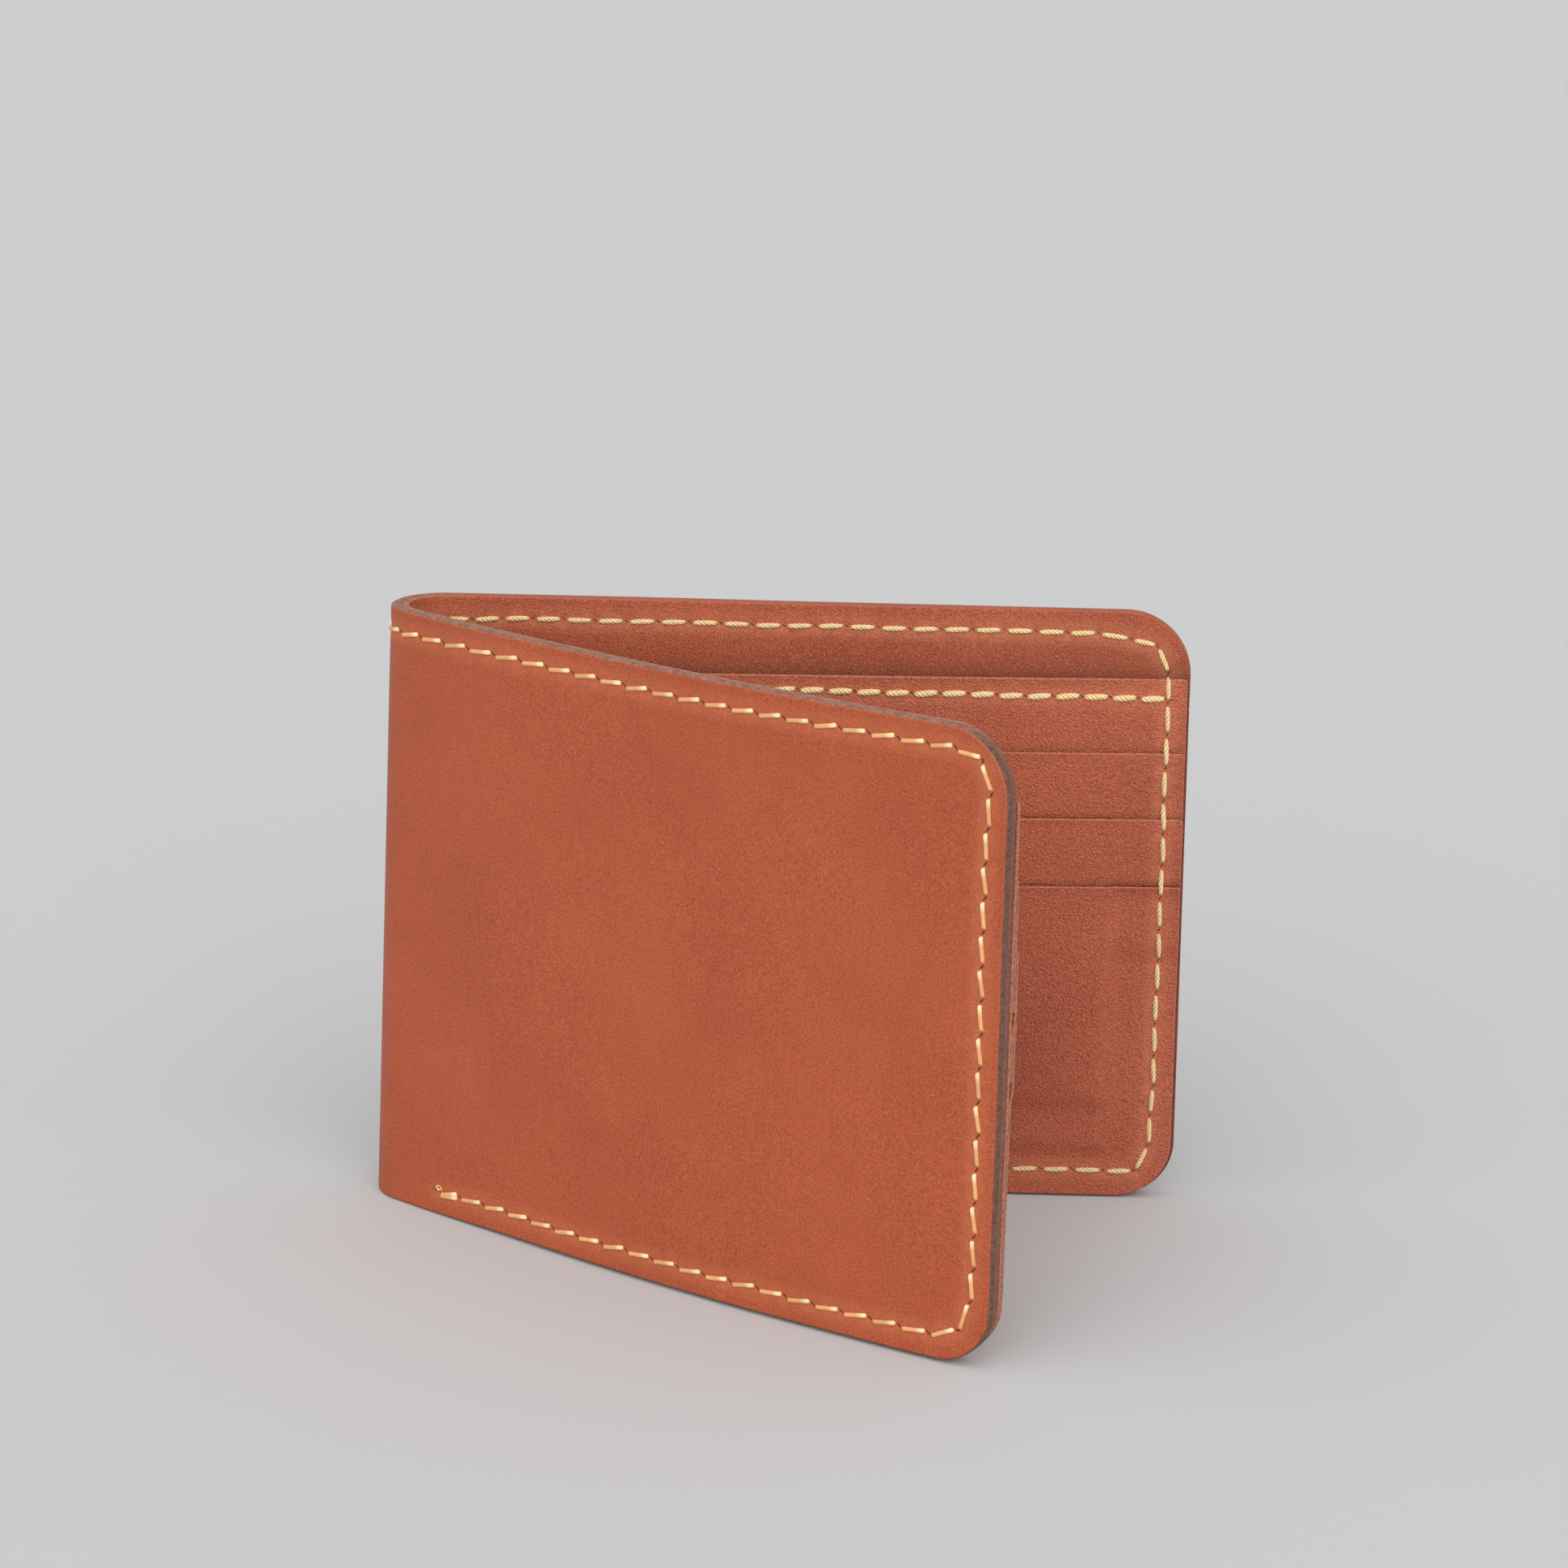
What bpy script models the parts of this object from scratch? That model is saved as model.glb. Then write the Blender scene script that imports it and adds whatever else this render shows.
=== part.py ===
"""Bifold leather wallet, standing half open on its bottom edges. Metres, +Z up.

Every layer is laid out flat first, the way leather is cut on a bench. The layout plane has U along the
wallet, from the rear free edge (negative) across the fold (0 to FOLD_LENGTH) to the front free edge, and Z
up the height. Depth is measured inwards from the grain side of the shell. The laid-out piece is then cut
across at the bend stations and formed round the fold by one function, so that all layers nest.

Bodies: rear_half stays put, spine turns on the rear fold line, front_half turns on the front fold line.
"""

import math

import bmesh
import bpy
from mathutils import Vector

# Driving dimensions of the wallet
HEIGHT = 0.088
HALF_LENGTH = 0.108  # one half, from the end of the fold to its free edge
CORNER_RADIUS = 0.010
FOLD_RADIUS = 0.008  # grain side of the fold, as the wallet stands half open
FOLD_TURN = math.radians(135.5)  # turn of the fold itself
FRONT_BOW = math.radians(13.4)  # the front half curls in by this much over its length
HINGE_DEPTH = 0.00095  # the fold lines lie this far inside the shell
LAYER_GAP = 0.00015  # clearance between neighbouring layers

# Leather thicknesses
SHELL_THICKNESS = 0.0016
LINING_THICKNESS = 0.0009
DIVIDER_THICKNESS = 0.0007
POCKET_THICKNESS = 0.0005

# Pockets: each top edge is this far below the top of the shell
DIVIDER_DROP = 0.0100
UPPER_POCKET_DROP = 0.0215
MIDDLE_POCKET_DROP = 0.0315
LOWER_POCKET_DROP = 0.0418
POCKET_START = 0.011  # the pockets begin this far from the fold
POCKET_EAR = 0.018  # height of a T pocket's ears, which reach the side seams
EAR_SLANT = 0.001  # an ear's lower edge drops by this much towards its end
POCKET_WAIST = 0.012  # a T pocket's stem is narrower by this much at each side
UPPER_POCKET_FOOT = 0.016  # height of the stem's foot above the bottom edge
MIDDLE_POCKET_FOOT = 0.009
SMALL_CORNER = 0.0015

# Seams
STITCH_INSET = 0.0035
SEAM_START = 0.0085  # the bottom seam stops this far from the fold
GUTTER_SEAM = 0.014  # upright seam that closes the pockets beside the fold
DIVIDER_SEAM_INSET = 0.0027
THREAD_RADIUS = 0.0003
THREAD_SINK = 0.00003  # the outer thread lies this far under the grain surface, in its groove
GROOVE_RADIUS = 0.00065
GROOVE_SINK = 0.0001
FOOT_THREAD_RADIUS = 0.00015
FOOT_GROOVE_RADIUS = 0.00038
FOOT_GROOVE_LIFT = 0.00004  # the axis of a foot seam's groove stands this far off the pocket's face
FOOT_SEAM_INSET = 0.0025
SEAM_STEP = 0.0012  # length over which a thread climbs from one layer to the next

# Clearance at each fold line, so that the halves open flat and close without overlap
SHELL_CLEARANCE = 0.00078
DIVIDER_CLEARANCE = 0.0011
INNER_THREAD_CLEARANCE = 0.0014

# Resolution
FOLD_FACETS = 24
BOW_FACETS = 8
CORNER_FACETS = 8
THREAD_CORNER_FACETS = 5
WELD_DISTANCE = 0.000001

# Sizes worked out from the ones above
FOLD_LENGTH = FOLD_RADIUS * FOLD_TURN
BOW_RADIUS = HALF_LENGTH / FRONT_BOW
REAR_FOLD_LINE = FOLD_LENGTH / 4
FRONT_FOLD_LINE = FOLD_LENGTH * 3 / 4
LINING_DEPTH = SHELL_THICKNESS + LAYER_GAP
DIVIDER_DEPTH = LINING_DEPTH + LINING_THICKNESS + LAYER_GAP
UPPER_POCKET_DEPTH = DIVIDER_DEPTH + DIVIDER_THICKNESS + LAYER_GAP
MIDDLE_POCKET_DEPTH = UPPER_POCKET_DEPTH + POCKET_THICKNESS + LAYER_GAP
LOWER_POCKET_DEPTH = MIDDLE_POCKET_DEPTH + POCKET_THICKNESS + LAYER_GAP
INNER_DEPTH = LOWER_POCKET_DEPTH + POCKET_THICKNESS + LAYER_GAP
DIVIDER_TOP = HEIGHT - DIVIDER_DROP
UPPER_POCKET_TOP = HEIGHT - UPPER_POCKET_DROP
MIDDLE_POCKET_TOP = HEIGHT - MIDDLE_POCKET_DROP
LOWER_POCKET_TOP = HEIGHT - LOWER_POCKET_DROP

SHELL_COLOUR = (0.45, 0.115, 0.053)
LINING_COLOUR = (0.36, 0.080, 0.038)
POCKET_COLOUR = (0.38, 0.088, 0.042)
OUTER_THREAD_COLOUR = (0.76, 0.45, 0.12)
INNER_THREAD_COLOUR = (0.82, 0.65, 0.28)


def clear_scene():
    for old in list(bpy.data.objects):
        bpy.data.objects.remove(old)


def new_collection(name):
    collection = bpy.data.collections.new(name)
    bpy.context.scene.collection.children.link(collection)
    return collection


def new_material(name, colour, roughness):
    material = bpy.data.materials.new(name)
    material.use_nodes = True
    surface = material.node_tree.nodes["Principled BSDF"]
    surface.inputs["Base Color"].default_value = (*colour, 1.0)
    surface.inputs["Roughness"].default_value = roughness
    surface.inputs["Metallic"].default_value = 0.0
    return material


# The layout and the way it is formed


def rear(distance):
    """U of a place on the rear half, this far from the fold."""
    return -distance


def front(distance):
    """U of a place on the front half, this far from the fold."""
    return FOLD_LENGTH + distance


def formed(u, height, outward):
    """Where a layout point comes to lie: the rear half is flat, the fold is round and the front bows."""
    if u <= 0:
        return Vector((-u, FOLD_RADIUS + outward, height))
    turn = min(u, FOLD_LENGTH) / FOLD_RADIUS
    radial = Vector((-math.sin(turn), math.cos(turn), 0))
    if u <= FOLD_LENGTH:
        return radial * (FOLD_RADIUS + outward) + Vector((0, 0, height))
    bend = (u - FOLD_LENGTH) / BOW_RADIUS
    along = Vector((-math.cos(turn), -math.sin(turn), 0))
    centre = radial * (FOLD_RADIUS - BOW_RADIUS)
    arm = BOW_RADIUS + outward
    swing = radial * math.cos(bend) + along * math.sin(bend)
    return centre + swing * arm + Vector((0, 0, height))


def bend_stations():
    """The places along U where a formed layer may change direction."""
    fold = [FOLD_LENGTH * i / FOLD_FACETS for i in range(FOLD_FACETS + 1)]
    bow = [FOLD_LENGTH + HALF_LENGTH * i / BOW_FACETS for i in range(1, BOW_FACETS)]
    return fold + bow


def rounded(corners, facets=CORNER_FACETS):
    """Outline of a polygon given as (u, height, radius), with each corner as an arc."""
    outline = []
    for i, (u, height, radius) in enumerate(corners):
        here = Vector((u, height))
        if radius == 0:
            outline.append(here)
            continue
        before = (Vector(corners[i - 1][:2]) - here).normalized()
        after = (Vector(corners[(i + 1) % len(corners)][:2]) - here).normalized()
        centre = here + (before + after) * radius
        for k in range(facets + 1):
            angle = math.pi / 2 * k / facets
            outline.append(centre - after * radius * math.cos(angle) - before * radius * math.sin(angle))
    return outline


def flat_sheet(name, outline, depth, thickness):
    """Mesh of a flat layer: the outline in the layout plane, from depth to depth + thickness inwards."""
    curve = bpy.data.curves.new(name, "CURVE")
    curve.dimensions = "2D"
    curve.fill_mode = "BOTH"
    curve.extrude = thickness / 2
    spline = curve.splines.new("POLY")
    spline.points.add(len(outline) - 1)
    for point, place in zip(spline.points, outline):
        point.co = (*place, 0, 1)
    spline.use_cyclic_u = True
    mesh = mesh_of_curve(name, curve)
    for vertex in mesh.vertices:
        vertex.co.z -= depth + thickness / 2
    return mesh


def flat_tube(name, route, radius):
    """Mesh of a tube along a route of (u, height, outward) points in the layout."""
    curve = bpy.data.curves.new(name, "CURVE")
    curve.dimensions = "3D"
    curve.bevel_depth = radius
    curve.bevel_resolution = 2
    curve.use_fill_caps = True
    spline = curve.splines.new("POLY")
    spline.points.add(len(route) - 1)
    for point, place in zip(spline.points, route):
        point.co = (*place, 1)
    return mesh_of_curve(name, curve)


def mesh_of_curve(name, curve):
    """The curve as a closed mesh, with its caps welded on and its normals outwards."""
    guide = bpy.data.objects.new(name, curve)
    bpy.context.scene.collection.objects.link(guide)
    graph = bpy.context.evaluated_depsgraph_get()
    mesh = bpy.data.meshes.new_from_object(guide.evaluated_get(graph))
    bpy.data.objects.remove(guide)
    bpy.data.curves.remove(curve)
    form = bmesh.new()
    form.from_mesh(mesh)
    bmesh.ops.remove_doubles(form, verts=form.verts, dist=WELD_DISTANCE)
    bmesh.ops.recalc_face_normals(form, faces=form.faces)
    form.to_mesh(mesh)
    form.free()
    return mesh


def grooved(mesh, route, radius):
    """The laid-out mesh with a round-bottomed stitching groove cut along the route."""
    sheet = bpy.data.objects.new("sheet", mesh)
    cutter = bpy.data.objects.new("groove_cutter", flat_tube("groove_cutter", route, radius))
    cutter.hide_render = True
    cutter.display_type = "WIRE"
    bpy.context.scene.collection.objects.link(sheet)
    bpy.context.scene.collection.objects.link(cutter)
    cut = sheet.modifiers.new("groove", "BOOLEAN")
    cut.operation = "DIFFERENCE"
    cut.solver = "EXACT"
    cut.object = cutter
    graph = bpy.context.evaluated_depsgraph_get()
    result = bpy.data.meshes.new_from_object(sheet.evaluated_get(graph))
    bpy.data.objects.remove(sheet)
    bpy.data.objects.remove(cutter)
    return result


def form_mesh(mesh):
    """Cuts the laid-out mesh across at the bend stations and forms it round the fold."""
    form = bmesh.new()
    form.from_mesh(mesh)
    bmesh.ops.triangulate(form, faces=form.faces)
    for station in bend_stations():
        everything = list(form.verts) + list(form.edges) + list(form.faces)
        bmesh.ops.bisect_plane(
            form, geom=everything, dist=WELD_DISTANCE, plane_co=(station, 0, 0), plane_no=(1, 0, 0)
        )
    for vertex in form.verts:
        vertex.co = formed(*vertex.co)
    form.to_mesh(mesh)
    form.free()


# Seam routes, as points (u, height, depth of the thread's own axis)


def stationed(route):
    """The route with a point added wherever it passes a bend station."""
    stations = bend_stations()
    result = [Vector(route[0])]
    for start, end in zip(route, route[1:]):
        start, end = Vector(start), Vector(end)
        low, high = sorted((start.x, end.x))
        passed = [s for s in stations if low + WELD_DISTANCE < s < high - WELD_DISTANCE]
        for station in sorted(passed, reverse=end.x < start.x):
            result.append(start.lerp(end, (station - start.x) / (end.x - start.x)))
        result.append(end)
    return result


def seam_corner(half, top):
    """The quarter turn of the edge seam at a free corner: from the bottom run up, or from the side in."""
    radius = CORNER_RADIUS - STITCH_INSET
    centre_distance = HALF_LENGTH - CORNER_RADIUS
    centre_height = HEIGHT - CORNER_RADIUS if top else CORNER_RADIUS
    places = []
    for k in range(THREAD_CORNER_FACETS + 1):
        angle = math.pi / 2 * k / THREAD_CORNER_FACETS
        if not top:
            angle -= math.pi / 2
        distance = centre_distance + radius * math.cos(angle)
        places.append((half(distance), centre_height + radius * math.sin(angle)))
    return places


def outer_edge_route(half, fold_end):
    """Outer run of the edge seam of a half: bottom, free side and top, up to the fold line at fold_end."""
    places = [(half(SEAM_START), STITCH_INSET)]
    places += seam_corner(half, top=False)
    places += seam_corner(half, top=True)
    places += [(fold_end, HEIGHT - STITCH_INSET)]
    return [(u, height, -THREAD_SINK - THREAD_RADIUS) for u, height in places]


def on_layer(depth):
    """Outward coordinate of a thread's axis that lies on the inner side of the layer that ends at depth."""
    return -(depth + THREAD_RADIUS)


def inner_side_steps():
    """(height, layer depth) of the inner side seam: each layer carries it from this height downwards."""
    return [
        (HEIGHT, DIVIDER_DEPTH),
        (DIVIDER_TOP, UPPER_POCKET_DEPTH),
        (UPPER_POCKET_TOP, MIDDLE_POCKET_DEPTH),
        (MIDDLE_POCKET_TOP, LOWER_POCKET_DEPTH),
        (LOWER_POCKET_TOP, INNER_DEPTH),
    ]


def stepped_climb(u, steps):
    """Upright run that climbs off one layer on to the next, from the lowest step's layer to the highest."""
    places = []
    for (upper_height, upper_depth), (height, depth) in zip(steps, steps[1:]):
        places.append((u, height + SEAM_STEP / 2 + THREAD_RADIUS, on_layer(depth)))
        places.append((u, height + SEAM_STEP * 3 / 2 + THREAD_RADIUS, on_layer(upper_depth)))
    return sorted(places, key=lambda place: place[1])


def inner_edge_route(half, fold_end):
    """Inner run of the edge seam: over the pockets at the bottom and side, and the lining at the top."""
    low, high = on_layer(INNER_DEPTH), on_layer(DIVIDER_DEPTH)
    beside_pocket = POCKET_START - THREAD_RADIUS
    route = [
        (half(SEAM_START), STITCH_INSET, on_layer(UPPER_POCKET_DEPTH)),
        (half(beside_pocket - SEAM_STEP), STITCH_INSET, on_layer(UPPER_POCKET_DEPTH)),
        (half(beside_pocket), STITCH_INSET, low),
    ]
    route += [(u, height, low) for u, height in seam_corner(half, top=False)]
    route += stepped_climb(half(HALF_LENGTH - STITCH_INSET), inner_side_steps())
    route += [(u, height, high) for u, height in seam_corner(half, top=True)]
    route += [(fold_end, HEIGHT - STITCH_INSET, high)]
    return route


def divider_route(start, end):
    """Seam along the top of the divider."""
    height = DIVIDER_TOP - DIVIDER_SEAM_INSET
    depth = on_layer(UPPER_POCKET_DEPTH)
    return [(start, height, depth), (end, height, depth)]


def gutter_route(half):
    """Upright seam beside the fold, from the bottom seam to the top of the upper pocket."""
    u = half(GUTTER_SEAM)
    bottom = (u, STITCH_INSET + 3 * THREAD_RADIUS, on_layer(INNER_DEPTH))
    top = (u, UPPER_POCKET_TOP - SEAM_STEP, on_layer(MIDDLE_POCKET_DEPTH))
    return [bottom] + stepped_climb(u, inner_side_steps()[2:]) + [top]


def foot_route(half, foot, depth):
    """Seam across the foot of a T pocket's stem, sunk in its face."""
    outward = -(depth + POCKET_THICKNESS - FOOT_THREAD_RADIUS)
    start = POCKET_START + POCKET_WAIST + FOOT_SEAM_INSET
    end = HALF_LENGTH - POCKET_WAIST - FOOT_SEAM_INSET
    height = foot + FOOT_SEAM_INSET
    return [(half(start), height, outward), (half(end), height, outward)]


def lengthened(route, extra):
    """The route carried on past both ends, so that a groove runs out beyond its thread."""
    first, last = Vector(route[0]), Vector(route[-1])
    first += (first - Vector(route[1])).normalized() * extra
    last += (last - Vector(route[-2])).normalized() * extra
    return [first] + [Vector(place) for place in route[1:-1]] + [last]


def sunk_to(route, outward):
    return [(place[0], place[1], outward) for place in route]


# Outlines of the layers


def half_outline(half, fold_end, top, top_radius):
    """A layer of one half, from the fold line out to its free edge."""
    edge = half(HALF_LENGTH)
    free_corners = [(edge, 0, CORNER_RADIUS), (edge, top, top_radius)]
    return rounded([(fold_end, 0, 0), *free_corners, (fold_end, top, 0)])


def spine_outline(clearance, top):
    """A layer of the spine, between the two fold lines."""
    start = REAR_FOLD_LINE + clearance
    end = FRONT_FOLD_LINE - clearance
    return [Vector((start, 0)), Vector((end, 0)), Vector((end, top)), Vector((start, top))]


def t_pocket_outline(half, top, foot):
    """A T pocket: two ears that reach the side seams, and a narrower stem down to its foot."""
    inner, outer = half(POCKET_START), half(HALF_LENGTH)
    stem_inner, stem_outer = half(POCKET_START + POCKET_WAIST), half(HALF_LENGTH - POCKET_WAIST)
    ear = top - POCKET_EAR
    return rounded(
        [
            (inner, ear - EAR_SLANT, 0),
            (stem_inner, ear, 0),
            (stem_inner, foot, SMALL_CORNER),
            (stem_outer, foot, SMALL_CORNER),
            (stem_outer, ear, 0),
            (outer, ear - EAR_SLANT, 0),
            (outer, top, SMALL_CORNER),
            (inner, top, SMALL_CORNER),
        ],
        facets=3,
    )


def lower_pocket_outline(half):
    inner, outer = half(POCKET_START), half(HALF_LENGTH)
    top = LOWER_POCKET_TOP
    return rounded(
        [
            (inner, 0, SMALL_CORNER),
            (outer, 0, CORNER_RADIUS),
            (outer, top, SMALL_CORNER),
            (inner, top, SMALL_CORNER),
        ]
    )


# The wallet


class Bench:
    """Holds the collection, the materials and the bodies, and puts each finished piece in its place."""

    def __init__(self):
        self.collection = new_collection("bifold_wallet")
        self.materials = {
            "shell_leather": new_material("shell_leather", SHELL_COLOUR, 0.50),
            "lining_leather": new_material("lining_leather", LINING_COLOUR, 0.62),
            "pocket_leather": new_material("pocket_leather", POCKET_COLOUR, 0.55),
            "outer_thread": new_material("outer_thread", OUTER_THREAD_COLOUR, 0.45),
            "inner_thread": new_material("inner_thread", INNER_THREAD_COLOUR, 0.55),
        }
        self.wallet = self.empty("wallet", None, Vector((0, 0, 0)))
        self.bodies = {"rear_half": self.empty("rear_half", self.wallet, Vector((0, 0, 0)))}
        rear_hinge = formed(REAR_FOLD_LINE, 0, -HINGE_DEPTH)
        front_hinge = formed(FRONT_FOLD_LINE, 0, -HINGE_DEPTH)
        self.bodies["spine"] = self.empty("spine", self.bodies["rear_half"], rear_hinge)
        self.bodies["front_half"] = self.empty("front_half", self.bodies["spine"], front_hinge - rear_hinge)
        self.origins = {"rear_half": Vector((0, 0, 0)), "spine": rear_hinge, "front_half": front_hinge}

    def empty(self, name, parent, location):
        marker = bpy.data.objects.new(name, None)
        marker.empty_display_size = 0.01
        marker.parent = parent
        marker.location = location
        self.collection.objects.link(marker)
        return marker

    def place(self, name, mesh, body, material):
        """Forms a laid-out mesh and hangs it on its body, whose empty stands on the joint's axis."""
        form_mesh(mesh)
        for vertex in mesh.vertices:
            vertex.co -= self.origins[body]
        mesh.name = name
        mesh.materials.clear()
        mesh.materials.append(self.materials[material])
        piece = bpy.data.objects.new(name, mesh)
        piece.parent = self.bodies[body]
        self.collection.objects.link(piece)
        return piece

    def leather(self, name, body, material, outline, depth, thickness, groove=None, groove_radius=0.0):
        mesh = flat_sheet(name, outline, depth, thickness)
        if groove:
            mesh = grooved(mesh, groove, groove_radius)
        return self.place(name, mesh, body, material)

    def thread(self, name, body, material, route, radius=THREAD_RADIUS):
        return self.place(name, flat_tube(name, stationed(route), radius), body, material)

    def stand_on_origin(self):
        """Moves the whole wallet so that the middle of its box, at the bottom, is the origin."""
        bpy.context.view_layer.update()
        pieces = [o for o in self.collection.objects if o.type == "MESH"]
        places = [o.matrix_world @ v.co for o in pieces for v in o.data.vertices]
        for axis in (0, 1):
            values = [place[axis] for place in places]
            self.wallet.location[axis] = -(min(values) + max(values)) / 2
        bpy.context.view_layer.update()


def add_half(bench, name, half, fold_line):
    """All the pieces of one half. fold_line is the U of the fold line that it turns on."""
    body = name + "_half"
    towards_half = 1 if half(1) > half(0) else -1
    shell_end = fold_line + towards_half * SHELL_CLEARANCE
    divider_end = fold_line + towards_half * DIVIDER_CLEARANCE
    outer_route = outer_edge_route(half, shell_end)
    groove = sunk_to(lengthened(outer_route, GROOVE_RADIUS), -GROOVE_SINK)
    full = half_outline(half, shell_end, HEIGHT, CORNER_RADIUS)
    bench.leather(name + "_shell", body, "shell_leather", full, 0, SHELL_THICKNESS, groove, GROOVE_RADIUS)
    bench.leather(name + "_lining", body, "lining_leather", full, LINING_DEPTH, LINING_THICKNESS)
    lowered = half_outline(half, divider_end, DIVIDER_TOP, SMALL_CORNER)
    bench.leather(name + "_divider", body, "pocket_leather", lowered, DIVIDER_DEPTH, DIVIDER_THICKNESS)
    t_pockets = [
        ("upper", UPPER_POCKET_TOP, UPPER_POCKET_FOOT, UPPER_POCKET_DEPTH),
        ("middle", MIDDLE_POCKET_TOP, MIDDLE_POCKET_FOOT, MIDDLE_POCKET_DEPTH),
    ]
    for level, top, foot, depth in t_pockets:
        seam = foot_route(half, foot, depth)
        pocket_name = f"{name}_{level}_card_pocket"
        groove_level = -(depth + POCKET_THICKNESS + FOOT_GROOVE_LIFT)
        foot_groove = sunk_to(lengthened(seam, FOOT_GROOVE_RADIUS), groove_level)
        outline = t_pocket_outline(half, top, foot)
        bench.leather(
            pocket_name,
            body,
            "pocket_leather",
            outline,
            depth,
            POCKET_THICKNESS,
            foot_groove,
            FOOT_GROOVE_RADIUS,
        )
        bench.thread(f"{name}_{level}_pocket_foot_thread", body, "inner_thread", seam, FOOT_THREAD_RADIUS)
    lower = lower_pocket_outline(half)
    lower_name = name + "_lower_card_pocket"
    bench.leather(lower_name, body, "pocket_leather", lower, LOWER_POCKET_DEPTH, POCKET_THICKNESS)
    bench.thread(name + "_edge_thread_outside", body, "outer_thread", outer_route)
    thread_end = fold_line + towards_half * INNER_THREAD_CLEARANCE
    inner_route = inner_edge_route(half, thread_end)
    bench.thread(name + "_edge_thread_inside", body, "inner_thread", inner_route)
    seam_end = half(HALF_LENGTH - STITCH_INSET - 3 * THREAD_RADIUS)
    bench.thread(name + "_divider_thread", body, "inner_thread", divider_route(thread_end, seam_end))
    bench.thread(name + "_gutter_thread", body, "inner_thread", gutter_route(half))


def add_spine(bench):
    """The strips of shell, lining, divider and thread between the two fold lines."""
    shell_start = REAR_FOLD_LINE + SHELL_CLEARANCE
    shell_end = FRONT_FOLD_LINE - SHELL_CLEARANCE
    thread_start = REAR_FOLD_LINE + INNER_THREAD_CLEARANCE
    thread_end = FRONT_FOLD_LINE - INNER_THREAD_CLEARANCE
    seam_height = HEIGHT - STITCH_INSET
    outside = -THREAD_SINK - THREAD_RADIUS
    inside = on_layer(DIVIDER_DEPTH)
    outer_route = [(shell_start, seam_height, outside), (shell_end, seam_height, outside)]
    groove = stationed(sunk_to(lengthened(outer_route, GROOVE_RADIUS), -GROOVE_SINK))
    full = spine_outline(SHELL_CLEARANCE, HEIGHT)
    lowered = spine_outline(DIVIDER_CLEARANCE, DIVIDER_TOP)
    bench.leather("spine_shell", "spine", "shell_leather", full, 0, SHELL_THICKNESS, groove, GROOVE_RADIUS)
    bench.leather("spine_lining", "spine", "lining_leather", full, LINING_DEPTH, LINING_THICKNESS)
    bench.leather("spine_divider", "spine", "pocket_leather", lowered, DIVIDER_DEPTH, DIVIDER_THICKNESS)
    bench.thread("spine_edge_thread_outside", "spine", "outer_thread", outer_route)
    inner_route = [(thread_start, seam_height, inside), (thread_end, seam_height, inside)]
    bench.thread("spine_edge_thread_inside", "spine", "inner_thread", inner_route)
    bench.thread("spine_divider_thread", "spine", "inner_thread", divider_route(thread_start, thread_end))


def main():
    clear_scene()
    bench = Bench()
    add_half(bench, "rear", rear, REAR_FOLD_LINE)
    add_spine(bench)
    add_half(bench, "front", front, FRONT_FOLD_LINE)
    bench.stand_on_origin()


main()
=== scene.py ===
"""Stitched leather bifold wallet, standing half open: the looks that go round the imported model.

Every layer is drawn flat, as it is cut on the bench: distance from the fold, height, and depth from the
grain side of the shell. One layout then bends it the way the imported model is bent, so leather, stitches
and textures all follow the fold and the bow of the front half.
"""

import logging
import math
from dataclasses import dataclass, field, replace
from enum import Enum

import bpy
import numpy as np
from mathutils import Matrix, Vector


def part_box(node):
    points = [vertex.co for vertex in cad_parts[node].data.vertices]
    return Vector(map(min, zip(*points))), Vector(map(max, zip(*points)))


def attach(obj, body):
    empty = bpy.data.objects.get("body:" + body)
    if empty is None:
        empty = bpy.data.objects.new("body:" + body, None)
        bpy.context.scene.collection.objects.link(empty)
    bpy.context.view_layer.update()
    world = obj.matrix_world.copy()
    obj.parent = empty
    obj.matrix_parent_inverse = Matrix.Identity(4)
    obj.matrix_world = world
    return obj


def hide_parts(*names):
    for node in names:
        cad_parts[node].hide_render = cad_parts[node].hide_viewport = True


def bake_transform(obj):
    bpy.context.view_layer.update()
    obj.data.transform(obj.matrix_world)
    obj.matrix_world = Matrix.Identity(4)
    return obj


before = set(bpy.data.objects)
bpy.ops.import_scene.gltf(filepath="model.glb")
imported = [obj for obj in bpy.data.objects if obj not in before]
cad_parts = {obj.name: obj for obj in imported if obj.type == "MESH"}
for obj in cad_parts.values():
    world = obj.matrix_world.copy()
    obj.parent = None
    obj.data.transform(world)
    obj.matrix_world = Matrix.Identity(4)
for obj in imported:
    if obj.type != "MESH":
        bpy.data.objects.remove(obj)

log = logging.getLogger("wallet")

MM = 0.001
FAR = 0.03  # further from a seam than its marks reach


class Side(Enum):
    """The two halves of the wallet."""

    REAR = "rear"
    FRONT = "front"


class Face(Enum):
    """The two sides of a layer of leather."""

    OUTER = "outer"
    INNER = "inner"


def smooth(value: np.ndarray) -> np.ndarray:
    """Smooth step from 0 to 1 as value goes from 0 to 1."""
    held = np.clip(value, 0.0, 1.0)
    return held * held * (3.0 - 2.0 * held)


def ripple(u: np.ndarray, height: np.ndarray, length: float, turn: float) -> np.ndarray:
    """Soft, slightly irregular waves over the leather.

    Args:
        u: Place along the wallet.
        height: Place up the wallet.
        length: Length of the longest wave.
        turn: Angle that makes one set of waves differ from another.

    Returns:
        Values between about -1 and 1.
    """
    first = np.sin((u * math.cos(turn) + height * math.sin(turn)) * math.tau / length + turn * 3.0)
    second = np.sin((u * math.sin(turn) - height * math.cos(turn)) * math.tau / length * 1.7 + turn * 7.0)
    third = np.sin((u + height) * math.tau / length * 2.3 + turn * 11.0)
    return 0.5 * first + 0.3 * second + 0.2 * third


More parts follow.
